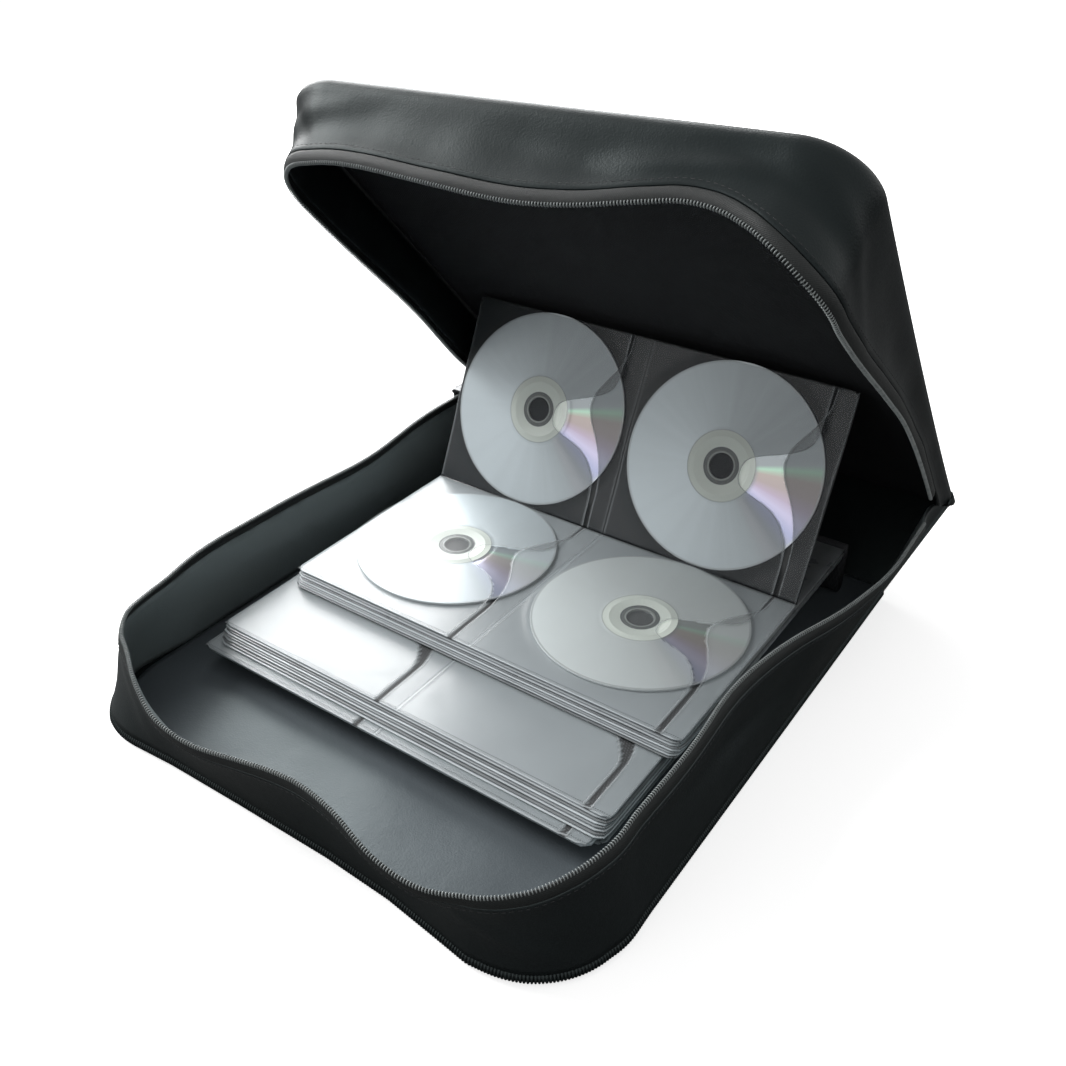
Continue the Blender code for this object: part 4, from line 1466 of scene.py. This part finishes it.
@dataclass
class LidTray(Tray):
    """The lid: padded panel, waving gusset, zip half and cloth lining."""

    gusset_start: float = 16.0
    zip_ends: tuple[float, float] = (70.0, 56.0)
    lining_cut: tuple[float, float] = (0.32, 0.36)
    lining_grid: tuple[int, int] = (100, 90)
    table: tuple[tuple[float, float, float], ...] = (
        (0.000, 20.0, 0.0), (0.060, 26.0, -8.0), (0.130, 44.0, -22.0), (0.200, 46.0, -28.0),
        (0.280, 47.0, -25.0), (0.318, 43.0, -20.0), (0.345, 40.5, -17.0), (0.370, 39.0, -10.0),
        (0.392, 36.5, -1.0), (0.415, 35.5, 2.0), (0.455, 38.0, 2.0), (0.505, 40.3, 0.0),
        (0.525, 39.8, 0.0), (0.556, 34.5, 0.0), (0.585, 27.5, 0.0), (0.602, 25.0, 0.0),
        (0.620, 33.0, 0.0), (0.640, 44.0, 2.0), (0.662, 51.0, 2.5), (0.685, 50.3, 4.0),
        (0.720, 44.0, 6.0), (0.770, 32.0, 5.0), (0.820, 21.5, 5.0), (0.860, 17.5, 5.0),
        (0.904, 16.0, 5.0), (0.944, 15.5, 3.0), (1.000, 16.0, 0.0))
    creases: tuple[Crease, ...] = (
        Crease((0.345, 2.0), (0.375, 22.0), 5.0, 1.6), Crease((0.33, 20.0), (0.40, 6.0), 6.0, -1.6),
        Crease((0.56, 16.0), (0.63, 8.0), 5.0, -2.2), Crease((0.60, 2.0), (0.655, 22.0), 6.0, 2.6),
        Crease((0.64, 8.0), (0.70, 34.0), 6.0, -1.4))

    def gusset(self) -> Gusset:
        """The side wall, drawn with the lid level."""
        m = self.m
        return Gusset(m.lid_outline.inset(0.5), self.table, -m.foot, -1, 3.0, self.creases, seed=9,
                      turn_over=5.0, spread=math.radians(32.0))

    def build(self) -> None:
        """Make and seat every piece."""
        m = self.m
        wall = self.gusset()
        run = wall.outline.length
        edge = m.lid_outline.inset(6.0, -0.1)

        def flare(s: float) -> float:
            return 5.6 * min(1.0, max(0.0, (self.gusset_start - min(s, edge.length - s)) / 2.0))
        pad = Pad("lid_pad", edge, 0.0, m.panel - 0.4, m.lid_dome, 1.2, m.on_lid, True, 13, flare)
        pad = pad.build(self.leather)
        ride(pad, Body.LID, Slot.LEATHERETTE, "lid_panel", "lid_piping")
        marks = wall.marks(self.gusset_start, run - self.gusset_start)
        side = wall.strip("lid_gusset_cloth", marks, wall.cloth_levels, m.on_lid, self.leather)
        ride(side, Body.LID, Slot.LEATHERETTE, "lid_gusset")
        cloth(side, run - 2 * self.gusset_start)
        zip_marks = wall.marks(self.zip_ends[0], run - self.zip_ends[1])
        self.zip_half("lid", wall, zip_marks, Body.LID, m.on_lid)
        self.inside()

    def inside(self) -> None:
        """The lid's woven lining, which follows the dome."""
        m = self.m
        inner = m.lid_outline.inset(5.0, 5.0)
        (mid_x, mid_y), (half_x, half_y) = inner.middle, inner.half
        count, columns = self.lining_grid
        grid, chart = np.zeros((count, columns, 3)), np.zeros((count, columns, 2))
        for r, y in enumerate(np.linspace(inner.back, inner.front, count)):
            cut_l = max(0.0, inner.front + inner.left_corner - y)
            cut_r = max(0.0, inner.front + inner.right_corner - y)
            left = inner.left + inner.left_corner - math.sqrt(max(0.0, inner.left_corner**2 - cut_l**2))
            right = inner.right - inner.right_corner + math.sqrt(max(0.0, inner.right_corner**2 - cut_r**2))
            x = np.linspace(left, right, columns)
            arch = np.clip(1 - ((x - mid_x) / half_x) ** 4, 0, 1) * max(0.0, 1 - ((y - mid_y) / half_y) ** 4)
            wave = 0.4 * ripple(x, y, 80.0, 31) * np.clip(arch * 3, 0, 1)
            z = -m.panel - GAP - 0.3 + m.lid_dome * arch * 0.96 - wave
            grid[r] = np.column_stack([x, np.full_like(x, y), z])
            chart[r] = np.column_stack([x, np.full_like(x, y)])
        rows = m.on_lid(grid.reshape(-1, 3)).reshape(grid.shape)
        made = sheet_piece("lid_lining_cloth", rows, -0.7, self.lining, chart)
        ride(made, Body.LID, Slot.LID_LINING, "lid_lining")
        min(self.lining_cut[0] * self.lining_cut[1], one_side(made))


@dataclass
class HingeWeb:
    """The small gore of cloth at each end of the spine, between the base's and the lid's gussets."""

    m: CaseMeasures
    base: Gusset
    lid: Gusset
    lid_start: float
    leather: bpy.types.Material
    rows: int = 7
    columns: int = 15
    thick: float = 1.4
    inset: float = 0.5
    length: float = 10.0

    def end(self, wall: Gusset, s: float, turn: Turn) -> Points:
        """Points up a wall's end, which a gore is sewn to."""
        top = wall.seam(s) + 0.6
        return turn(np.array([wall.place(s, top * i / (self.rows - 1), self.inset) for i in range(self.rows)]))

    def build(self) -> None:
        """Make both gores, each swept about the lid's fold."""
        past, base_run, lid_run = self.base.beyond, self.base.outline.length, self.lid.outline.length
        self.gore("hinge_web_left", -past, self.lid_start, self.thick)
        self.gore("hinge_web_right", base_run + past, lid_run - self.lid_start, -self.thick)

    def gore(self, name: str, s_base: float, s_lid: float, thick: float) -> None:
        """Make one gore, swept about the fold from the base's end to the lid's.

        Args:
            name: The piece's name.
            s_base: The distance along the base's wall at which it is sewn.
            s_lid: The same on the lid's wall.
            thick: The cloth's thickness, with the side that it lies on.
        """
        m = self.m
        pivot = np.array([0.0, m.hinge_y, m.hinge_z])
        first, last = self.end(self.base, s_base, m.level), self.end(self.lid, s_lid, m.on_lid)
        grid = np.zeros((self.rows, self.columns, 3))
        for c in range(self.columns):
            t = c / (self.columns - 1)
            for r in range(self.rows):
                a, b = first[r] - pivot, last[r] - pivot
                angle_a, angle_b = math.atan2(a[2], a[1]), math.atan2(b[2], b[1])
                if angle_a < 0:
                    angle_a += 2 * math.pi
                reach = math.hypot(a[1], a[2]) * (1 - t) + math.hypot(b[1], b[2]) * t
                angle = angle_a + (angle_b - angle_a) * t
                x = a[0] * (1 - t) + b[0] * t
                grid[r, c] = (x, pivot[1] + reach * math.cos(angle), pivot[2] + reach * math.sin(angle))
        chart = np.stack(np.meshgrid(np.arange(self.columns) * 2.0, np.arange(self.rows) * 1.5), axis=-1)
        made = sheet_piece(name, grid, thick, self.leather, chart)
        cloth(made, self.length)
        start, end = first.mean(axis=0) * MM, last.mean(axis=0) * MM
        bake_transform(made)
        LOG.info("piece %s bends at the fold", name)


@dataclass
class Leaves:
    """The stacked pocket leaves and the top leaf, folded so that its back row stands."""

    m: CaseMeasures
    edge: bpy.types.Material
    backing: bpy.types.Material
    # The standing page's backing and film are darker copies: painted shade under the lid.
    shade_painted_backing: bpy.types.Material
    film: bpy.types.Material
    shade_painted_film: bpy.types.Material
    disc: bpy.types.Material
    left_disc: bpy.types.Material
    right_disc: bpy.types.Material
    binding: bpy.types.Material
    low: tuple[float, float] = (-130.0, -117.0)
    mid: tuple[float, float] = (-125.0, -105.0)
    low_steps: tuple[float, ...] = (14.0, 14.5, 13.0, 13.6, 12.0, 12.6, 4.0, 2.2, 1.5, 0.6, 0.0)
    mid_steps: tuple[float, ...] = (-6.0, -5.2, -4.0, -3.2, -2.4, -1.6, -0.8, 0.0)
    top_steps: tuple[float, ...] = (-3.6, -3.0, -2.6, -2.0, -1.6, -1.2, -0.6)
    back: float = 150.0
    corner: float = 5.0
    # A row's depth, and its discs' centre from the near edge. Mouths and flaps are curves from that centre.
    row: float = 133.5
    front_disc: float = 72.0
    page_grid: tuple[int, int] = (80, 220)
    film_rows: int = 110
    film_columns: tuple[tuple[str, int], ...] = (("film", 60), ("flap", 16))
    mouth: tuple[tuple[float, float], ...] = (
        (-80.0, 112.4), (-36.0, 112.3), (-31.0, 111.2), (-27.0, 109.0), (-20.0, 104.0), (-14.7, 96.3),
        (-11.7, 86.7), (-9.5, 78.4), (-5.0, 75.0), (0.0, 74.2), (5.0, 75.0), (9.5, 78.0), (13.0, 87.0),
        (16.5, 97.0), (20.0, 105.0), (25.0, 110.5), (31.0, 112.4), (80.0, 112.4))
    flap: tuple[tuple[float, float], ...] = (
        (-80.0, 115.8), (-30.0, 115.4), (-22.0, 113.4), (-13.0, 110.0), (-5.0, 105.6), (2.3, 100.6),
        (11.4, 97.3), (20.1, 99.0), (28.0, 104.0), (37.0, 110.0), (48.0, 114.0), (80.0, 115.0))
    # A leaf's section: share of its thickness, distance drawn in, paleness.
    leaf_rings: tuple[tuple[float, float, float], ...] = (
        (0.0, 9.0, 0.1), (0.0, 0.25, 1.0), (0.2, 0.0, 1.0), (0.8, 0.0, 1.0), (1.0, 0.25, 1.0), (1.0, 3.5, 0.8),
        (1.0, 9.0, 0.1))
    leaf_tones: tuple[float, ...] = (1.0, 0.12, 0.75, 0.4)
    # A disc's section from its bore round its rim and back, as radius and height.
    disc_steps: int = 160
    disc_edge: tuple[tuple[float, float], ...] = (
        (7.5, 0.15), (7.65, 0.0), (59.8, 0.0), (60.0, 0.2), (60.0, 1.0), (59.8, 1.2), (58.7, 1.2))
    disc_hub: tuple[tuple[float, float], ...] = (
        (23.2, 1.2), (22.6, 1.14), (22.0, 1.2), (17.5, 1.2), (17.2, 1.34), (16.8, 1.34), (16.5, 1.2),
        (10.8, 1.2), (10.4, 1.05), (9.9, 1.05), (9.5, 1.2), (7.65, 1.2), (7.5, 1.05))

    def bare(self, x: Points, y: Points) -> Points:
        """Share of bareness, from the column's left edge and from the disc's centre: 1 in a thumb notch."""
        film = np.interp(y, *np.array(self.mouth).T)
        flap = np.interp(y, *np.array(self.flap).T)
        return np.clip(np.minimum(x - film, flap - x) + 0.5, 0, 1)

    def slab(self, name: str, left: float, fronts: Sequence[float], bottom: float,
             seed: int) -> bpy.types.Object:
        """Stacked leaves as one piece, each leaf a thin plate with rounded corners.

        Args:
            name: The piece's name.
            left: Left edge.
            fronts: Each leaf's front edge, from the lowest up.
            bottom: Height of the lowest leaf's underside.
            seed: Seed for the small unevenness.

        Returns:
            The piece.
        """
        m = self.m
        chance = np.random.default_rng(seed)
        points, faces, chart, tone = [], [], [], []
        wide = 2 * m.column
        for level, front in enumerate(fronts):
            shift = chance.uniform(-0.7, 0.7)
            low = bottom + level * m.leaf
            thick = m.leaf - m.leaf_slot
            shape = Outline(left + shift, left + wide + shift, front, self.back, self.corner, self.corner)
            spots = [shape.at(s) for s in np.linspace(0, shape.length - 0.01, 150)]
            start = len(points)
            pale = self.leaf_tones[(level + seed) % len(self.leaf_tones)] * chance.uniform(0.75, 1.0)
            for lift, draw, share in self.leaf_rings:
                for x, y, out_x, out_y in spots:
                    loose = min(1.0, max(0.0, (60 - y) / 60))
                    wave = 0.16 * float(ripple(x, y, 60.0, seed * 31 + level)) * loose
                    points.append((x - out_x * draw, y - out_y * draw, low + lift * thick + wave))
                    chart.append((x - left, y - front + draw))
                    # Darker from 50 mm to 90 mm back: painted shade under the lid.
                    tone.append(pale * share * (1.0 - 0.8 * min(1.0, max(0.0, (y - 50) / 40))))
            faces += [[start + i for i in face] for face in loft_faces(len(self.leaf_rings), len(spots))]
        made = mesh_piece(name, np.array(points), faces, self.edge, {"UVMap": np.array(chart)},
                          {"tone": np.array(tone)})
        for face in made.data.polygons:
            face.use_smooth = len(face.vertices) == 4
        return outward(made)

    def page(self, name: str, left: float, front: float, deep: float, top: float, turn: Turn, wavy: float,
             centre: float, full: bool = True) -> bpy.types.Object:
        """A page of backing fleece with rounded front corners, drawn level.

        Args:
            name: The piece's name.
            left: Its left edge.
            front: Its near edge.
            deep: Its depth.
            top: Height of its upper face.
            turn: Takes level points to their place.
            wavy: Height of its waves.
            centre: The discs' centre from the near edge.
            full: Whether discs lie on it.

        Returns:
            The piece.
        """
        rows, columns = self.page_grid
        grid, chart = np.zeros((rows, columns, 3)), np.zeros((rows, columns, 2))
        bare = np.zeros((rows, columns))
        wide = 2 * self.m.column
        for r in range(rows):
            y = deep * (r / (rows - 1)) ** 1.15
            cut = max(0.0, self.corner - y)
            draw = self.corner - math.sqrt(max(0.0, self.corner**2 - cut**2))
            x = np.linspace(draw, wide - draw, columns)
            z = top + wavy * ripple(x, y + front, 75.0, 41) * min(1.0, y / 12.0)
            grid[r] = np.column_stack([left + x, np.full(columns, front + y), z])
            chart[r] = np.column_stack([x, np.full(columns, y)])
            inside = np.where(x > self.m.column, x - self.m.column, x)
            hole = 8.5 - np.hypot(inside - self.m.disc_along, y - centre)
            bare[r] = np.maximum(self.bare(inside, y - centre), np.clip(hole, 0, 1) * full)
        place = turn(grid.reshape(-1, 3)).reshape(grid.shape)
        turned = place[-1, 0, 1] < place[0, 0, 1]
        # The standing page takes the darker backing: painted shade.
        thick, fleece = (-0.55, self.shade_painted_backing) if turned else (0.55, self.backing)
        return sheet_piece(name, place, thick, fleece, chart, {"bare": bare})

    def pocket(self, name: str, left: float, front: float, deep: float, centre: float, top: float, turn: Turn,
               full: bool, seed: int) -> list[bpy.types.Object]:
        """Film of one pocket: the main sheet with its thumb notch, and the flap at its mouth.

        Args:
            name: The pocket's name.
            left: The column's left edge.
            front: The near edge.
            deep: The pocket's depth.
            centre: The disc's centre from the near edge.
            top: Height of the page under the film.
            turn: Takes level points to their place.
            full: Whether a disc lies in the pocket.
            seed: Seed for the film's waves.

        Returns:
            The main sheet and the flap.
        """
        made = []
        ys = np.linspace(0.6, deep - 0.6, self.film_rows)
        for part, columns in self.film_columns:
            edge = np.array(self.mouth if part == "film" else self.flap)
            cut = np.interp(ys - centre, edge[:, 0], edge[:, 1])
            cut = np.convolve(np.pad(cut, 2, "edge"), np.ones(5) / 5, "valid")
            grid, chart = np.zeros((len(ys), columns, 3)), np.zeros((len(ys), columns, 2))
            rim = np.zeros((len(ys), columns))
            for r, y in enumerate(ys):
                ends = (0.6, cut[r]) if part == "film" else (cut[r], self.m.column - 0.5)
                share = np.linspace(0, 1, columns)
                x = ends[0] + (ends[1] - ends[0]) * share
                reach = np.hypot(x - self.m.disc_along, y - centre)
                rise = np.clip((67.0 - reach) / 7.5, 0, 1)
                lift = (1.62 if full else 0.5) * rise * rise * (3 - 2 * rise)
                side = np.minimum(x, self.m.column - x)
                pinned = np.clip(np.minimum(min(y, deep - y), side) / 7.0, 0, 1)
                lift = lift + 0.24 * (ripple(x, y, 48.0, seed) + 1.67) * pinned
                grid[r] = np.column_stack([left + x, np.full(columns, front + y), top + 0.3 + lift])
                chart[r] = np.column_stack([x, np.full(columns, y)])
                free = x - ends[0] if part == "flap" else ends[1] - x
                # rim marks the free edge and the sides for a painted highlight.
                rim[r] = np.clip(1 - free / 0.9, 0, 1) + np.clip(1 - side / 1.6, 0, 1)
            place = turn(grid.reshape(-1, 3)).reshape(grid.shape)
            # Films of the standing row take the darker copy: painted shade.
            clear = self.shade_painted_film if name.startswith("back") else self.film
            values = {"rim": np.clip(rim, 0, 1)}
            made.append(sheet_piece(f"{name}_{part}", place, 0.16, clear, chart, values))
        return made

    def disc_piece(self, name: str, x: float, y: float, z: float, turn: Turn) -> bpy.types.Object:
        """A disc turned from its section: rounded rim, stacking ring and drilled hub."""
        face = tuple((60.0 - k * 1.5, 1.2) for k in range(2, 24))
        section = self.disc_edge + face + self.disc_hub
        count, steps = len(section), self.disc_steps
        points, chart, faces = [], [], []
        for i in range(steps):
            a = 2 * math.pi * i / steps
            near, far = i * count, (i + 1) % steps * count
            for k, (r, h) in enumerate(section):
                points.append((x + r * math.cos(a), y + r * math.sin(a), z + h))
                chart.append((r * math.cos(a), r * math.sin(a)))
                faces.append([near + k, far + k, far + (k + 1) % count, near + (k + 1) % count])
        chart = np.array(chart)
        bare = self.bare(chart[:, 0] + self.m.disc_along, chart[:, 1])
        # The lying front discs take brighter copies, painted glare; the standing ones keep the darker default,
        # painted shade.
        finish = self.disc
        if "front" in name:
            finish = self.left_disc if "left" in name else self.right_disc
        made = mesh_piece(name, turn(np.array(points)), faces, finish, {"UVMap": chart}, {"bare": bare})
        made.data.set_sharp_from_angle(angle=math.radians(35))
        return outward(made)

    def build(self) -> None:
        """Make and seat every piece."""
        m = self.m
        low_bottom = m.floor_top + GAP
        mid_bottom = low_bottom + len(self.low_steps) * m.leaf - m.leaf_slot + GAP
        top_bottom = mid_bottom + len(self.mid_steps) * m.leaf - m.leaf_slot + 0.35 + 2 * GAP
        stacks = (
            ("leaves_low_pages", self.low, self.low_steps[:-1], low_bottom, "leaves_low", 51),
            ("leaves_mid_pages", self.mid, self.mid_steps[:-1], mid_bottom, "leaves_mid", 52),
            ("leaves_top_pages", (m.top_left, m.top_front), self.top_steps, top_bottom, "leaves_top", 53))
        for name, (left, front), steps, bottom, node, seed in stacks:
            made = self.slab(name, left, [front + step for step in steps], bottom, seed)
            ride(made, Body.CASE, Slot.LEAF, node)
        self.open_page("low", *self.low, low_bottom + len(self.low_steps) * m.leaf - m.leaf_slot - 0.2)
        self.open_page("mid", *self.mid, mid_bottom + len(self.mid_steps) * m.leaf - m.leaf_slot - 0.2)
        self.top_leaf()
        self.bound_edge(low_bottom, m.fold_z - m.leaf - GAP)

    def open_page(self, name: str, left: float, front: float, top: float) -> None:
        """The uppermost page of a stack, whose front shows in front of the stack above."""
        m = self.m
        deep, centre = self.row - 3.0, self.front_disc - 6.0
        page = self.page(f"page_{name}", left, front, self.back - front, top, m.level, 0.12, centre, False)
        ride(page, Body.CASE, Slot.LEAF)
        cloth(page, 2 * m.column)
        for column, side in enumerate(("left", "right")):
            films = self.pocket(f"{name}_{side}", left + column * m.column, front, deep, centre, top, m.level,
                                False, 60 + column)
            for film in films:
                nodes = (f"film_mid_{side}",) if name == "mid" and film.name.endswith("film") else ()
                ride(film, Body.CASE, Slot.FILM, *nodes)
                cloth(film, deep)

    def top_leaf(self) -> None:
        """The leaf that shows its discs: the front row lies and the back row stands at the fold."""
        m = self.m
        front = self.page("page_top_front", m.top_left, m.top_front, self.row - 0.3, m.fold_z, m.level, 0.1,
                          self.front_disc)
        ride(front, Body.CASE, Slot.LEAF)
        cloth(front, 2 * m.column)

        def stood(points: Points) -> Points:
            return m.on_raised(points * np.array([1.0, -1.0, 1.0]))
        raised = self.page("page_top_raised", m.top_left, -m.raised, m.raised, 0.0, stood, 0.1,
                           m.raised / 2 - 1.0)
        ride(raised, Body.CASE, Slot.LEAF, "leaf_raised")
        cloth(raised, 2 * m.column)
        for column, side in enumerate(("left", "right")):
            left = m.top_left + column * m.column
            rows = (("front", m.top_front, self.row, self.front_disc, m.fold_z, m.level),
                    ("back", 0.0, m.raised, m.raised / 2 + 1.0, 0.0, m.on_raised))
            for row, near, deep, centre, height, turn in rows:
                disc = self.disc_piece(f"disc_{row}_{side}_silver", left + m.disc_along, near + centre,
                                       height + 0.35, turn)
                ride(disc, Body.CASE, Slot.DISC, f"disc_{row}_{side}")
                films = self.pocket(f"{row}_{side}", left, near, deep, centre, height, turn, True, 70 + column)
                for film in films:
                    nodes = (f"film_{row}_{side}",) if film.name.endswith("film") else ()
                    ride(film, Body.CASE, Slot.FILM, *nodes)
                    cloth(film, deep)

    def bound_edge(self, low: float, high: float) -> None:
        """The fleece strip that binds the leaves behind."""
        m = self.m
        right = m.top_left + 2 * m.column
        xs = np.linspace(self.low[0], right, 60)
        half, steps, ring = 4.5, 16, []
        for k in range(steps):
            a = 2 * math.pi * k / steps
            y = self.back + GAP + half + half * math.copysign(abs(math.cos(a)) ** 0.5, math.cos(a))
            z = (low + high) / 2 + (high - low) / 2 * math.copysign(abs(math.sin(a)) ** 0.3, math.sin(a))
            ring.append((y, z))
        points = np.array([(x, y, z + 0.15 * float(ripple(x, z, 30.0, 81))) for x in xs for y, z in ring])
        chart = np.array([(x, k * 4.0) for x in xs for k in range(steps)])
        made = mesh_piece("binding_strip", points, loft_faces(len(xs), steps), self.binding, {"UVMap": chart})
        ride(outward(made), Body.CASE, Slot.BINDING, "leaf_binding")


@dataclass
class ZipPull:
    """The slider and its pull tab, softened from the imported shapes."""

    metal: bpy.types.Material
    bevel: float = 0.35

    def soften(self, node: str, name: str, body: Body) -> None:
        """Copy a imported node, weld it and round its edges.

        Args:
            node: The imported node.
            name: The piece's name.
            body: What it moves with.
        """
        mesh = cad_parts[node].data.copy()
        made = add_object(name, mesh)
        with editing(mesh) as work:
            bmesh.ops.remove_doubles(work, verts=work.verts, dist=0.001 * MM)
            bmesh.ops.dissolve_limit(work, angle_limit=math.radians(1), verts=work.verts, edges=work.edges)
        mesh.materials.clear()
        mesh.materials.append(self.metal)
        step = made.modifiers.new("Soften", "BEVEL")
        step.width = self.bevel * MM
        step.segments = 3
        step.limit_method = "ANGLE"
        ride(made, body, Slot.ZIP_METAL, node)

    def build(self) -> None:
        """Make and seat both pieces."""
        self.soften("zip_slider", "zip_slider_body", Body.SLIDER)
        self.soften("pull_tab", "zip_pull_tab", Body.TAB)


@dataclass
class Studio:
    """Camera, floor, soft lamps and white surroundings."""

    # Places in metres, angles in degrees, powers in watts.
    eye: Spot = (0.29681, -0.40594, 0.40320)
    pitch: float = 57.31
    turn: float = 34.96
    lens: float = 36.95
    around: float = 0.5
    key: float = 58.0
    key_size: float = 1.4
    key_from: Spot = (-1.41, 1.22, 0.97)
    side: float = 32.0
    side_size: float = 0.9
    side_from: Spot = (-1.5, -0.3, 1.25)
    front: float = 6.5
    front_size: float = 1.2
    front_from: Spot = (-0.85, -2.2, 0.95)
    aim: Spot = (0.0, 0.0, 0.08)
    floor_half: float = 14e3
    floor_height: float = -1.2

    def camera(self) -> None:
        """Stand where the photograph was taken."""
        data = bpy.data.cameras.new("camera")
        data.lens = self.lens
        data.sensor_width = 36.0
        data.clip_start, data.clip_end = 0.01, 50.0
        made = add_object("camera", data)
        made.location = self.eye
        made.rotation_euler = Euler((math.radians(self.pitch), 0.0, math.radians(self.turn)))
        bpy.context.scene.camera = made

    def lamp(self, name: str, place: Spot, size: float, power: float) -> None:
        """Hang a soft square lamp.

        Args:
            name: The lamp's name.
            place: Where it hangs, in metres.
            size: Its side.
            power: Its power in watts.
        """
        data = bpy.data.lights.new(name, "AREA")
        data.shape = "SQUARE"
        data.size = size
        data.energy = power
        made = add_object(name, data)
        made.location = place
        made.rotation_euler = (Vector(self.aim) - Vector(place)).to_track_quat("-Z", "Y").to_euler()

    def world(self) -> None:
        """White for the eye and in reflections, calmer as a light."""
        made = bpy.data.worlds.new("surroundings")
        made.use_nodes = True
        tree = made.node_tree
        tree.nodes.clear()
        path = add_node(tree, "ShaderNodeLightPath")
        calm = add_node(tree, "ShaderNodeBackground", None, {"Color": WHITE, "Strength": self.around})
        white = add_node(tree, "ShaderNodeBackground", None, {"Color": WHITE, "Strength": 1.0})
        seen = path.outputs["Is Camera Ray"]
        for ray in ("Is Glossy Ray", "Is Transmission Ray"):
            larger = add_node(tree, "ShaderNodeMath", {"operation": "MAXIMUM"}, {0: seen, 1: path.outputs[ray]})
            seen = larger.outputs[0]
        mix = add_node(tree, "ShaderNodeMixShader", None, {0: seen, 1: calm.outputs[0], 2: white.outputs[0]})
        add_node(tree, "ShaderNodeOutputWorld", None, {0: mix.outputs[0]})
        bpy.context.scene.world = made

    def build(self) -> None:
        """Set up the whole stage."""
        bpy.context.scene.view_settings.view_transform = "Standard"
        self.world()
        self.lamp("key", self.key_from, self.key_size, self.key)
        self.lamp("side", self.side_from, self.side_size, self.side)
        self.lamp("front", self.front_from, self.front_size, self.front)
        corners = [(x * self.floor_half, y * self.floor_half, self.floor_height)
                   for x, y in ((-1, -1), (1, -1), (1, 1), (-1, 1))]
        floor = mesh_piece("floor", np.array(corners), [[0, 1, 2, 3]], StudioFloor("paper_floor").material())


def main() -> None:
    """Dress the case, from the camera to the last piece."""
    logging.basicConfig(level=logging.INFO, format="%(message)s")
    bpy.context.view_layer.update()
    studio = Studio()
    studio.camera()
    leather = Leatherette("black_leatherette").material()
    gathered = Leatherette("rolled_leatherette", gathers=True).material()
    lining = Leatherette("floor_leatherette", (0.078, 0.09, 0.1), roughness=0.45, gloss=0.45,
                         crease_depth=0.8).material()
    woven = WovenCloth("lid_cloth", (0.005, 0.0055, 0.0065)).material()
    band = WovenCloth("zip_band", (0.008, 0.0095, 0.0095), 0.45, 0.04, 0.5).material()
    shiny = Leatherette("lid_leatherette", gloss=0.18).material()
    walls = Leatherette("base_leatherette", inner=(0.17, 0.2, 0.205), gloss=0.42).material()
    # The coil's mid-grey colour is painted highlight for the glints on its dark loops.
    teeth = Moulded("coil_plastic", (0.2, 0.22, 0.22), 0.28).material()
    thread = Moulded("black_thread", (0.01, 0.011, 0.012), 0.6).material()
    base = BaseTray(SIZES, walls, lining, band, teeth, thread, gathered)
    base.build()
    lid = LidTray(SIZES, shiny, woven, band, teeth, thread)
    lid.build()
    HingeWeb(SIZES, base.gusset(), lid.gusset(), lid.gusset_start, leather).build()
    Leaves(SIZES, LeafEdge("leaf_edges").material(),
           # Its pale colour under the film is the film's haze and painted glare.
           FleeceBacking("fleece", (0.38, 0.42, 0.44), gloss=1.0, tilt=0.05).material(),
           # Darker copies of the fleece and film for the standing page: painted shade under the lid.
           FleeceBacking("shaded_fleece", (0.023, 0.026, 0.027), light=(0.03, 0.033, 0.035),
                         gloss=0.2).material(),
           PocketFilm("pocket_film").material(),
           PocketFilm("shaded_film", (0.1, 0.11, 0.12), gloss=0.3).material(),
           # Lit and shaded copies of one disc: brighter for the lying discs, painted glare; darker default for
           # the standing ones, painted shade.
           DiscFace("silver_disc").material(),
           DiscFace("glaring_disc", shade=0.7, tilt=0.07, rainbow_glare=0.3).material(),
           DiscFace("glare_brightened_disc", (0.93, 1.0, 1.0), shade=0.7, tilt=0.05, rainbow_glare=0.3).material(),
           WovenCloth("binding_fleece", (0.02, 0.021, 0.023), 1.1, 0.06).material()).build()
    ZipPull(Moulded("coated_metal", (0.03, 0.032, 0.034), 0.32, 0.6).material()).build()
    studio.build()


if __name__ == "__main__":
    main()
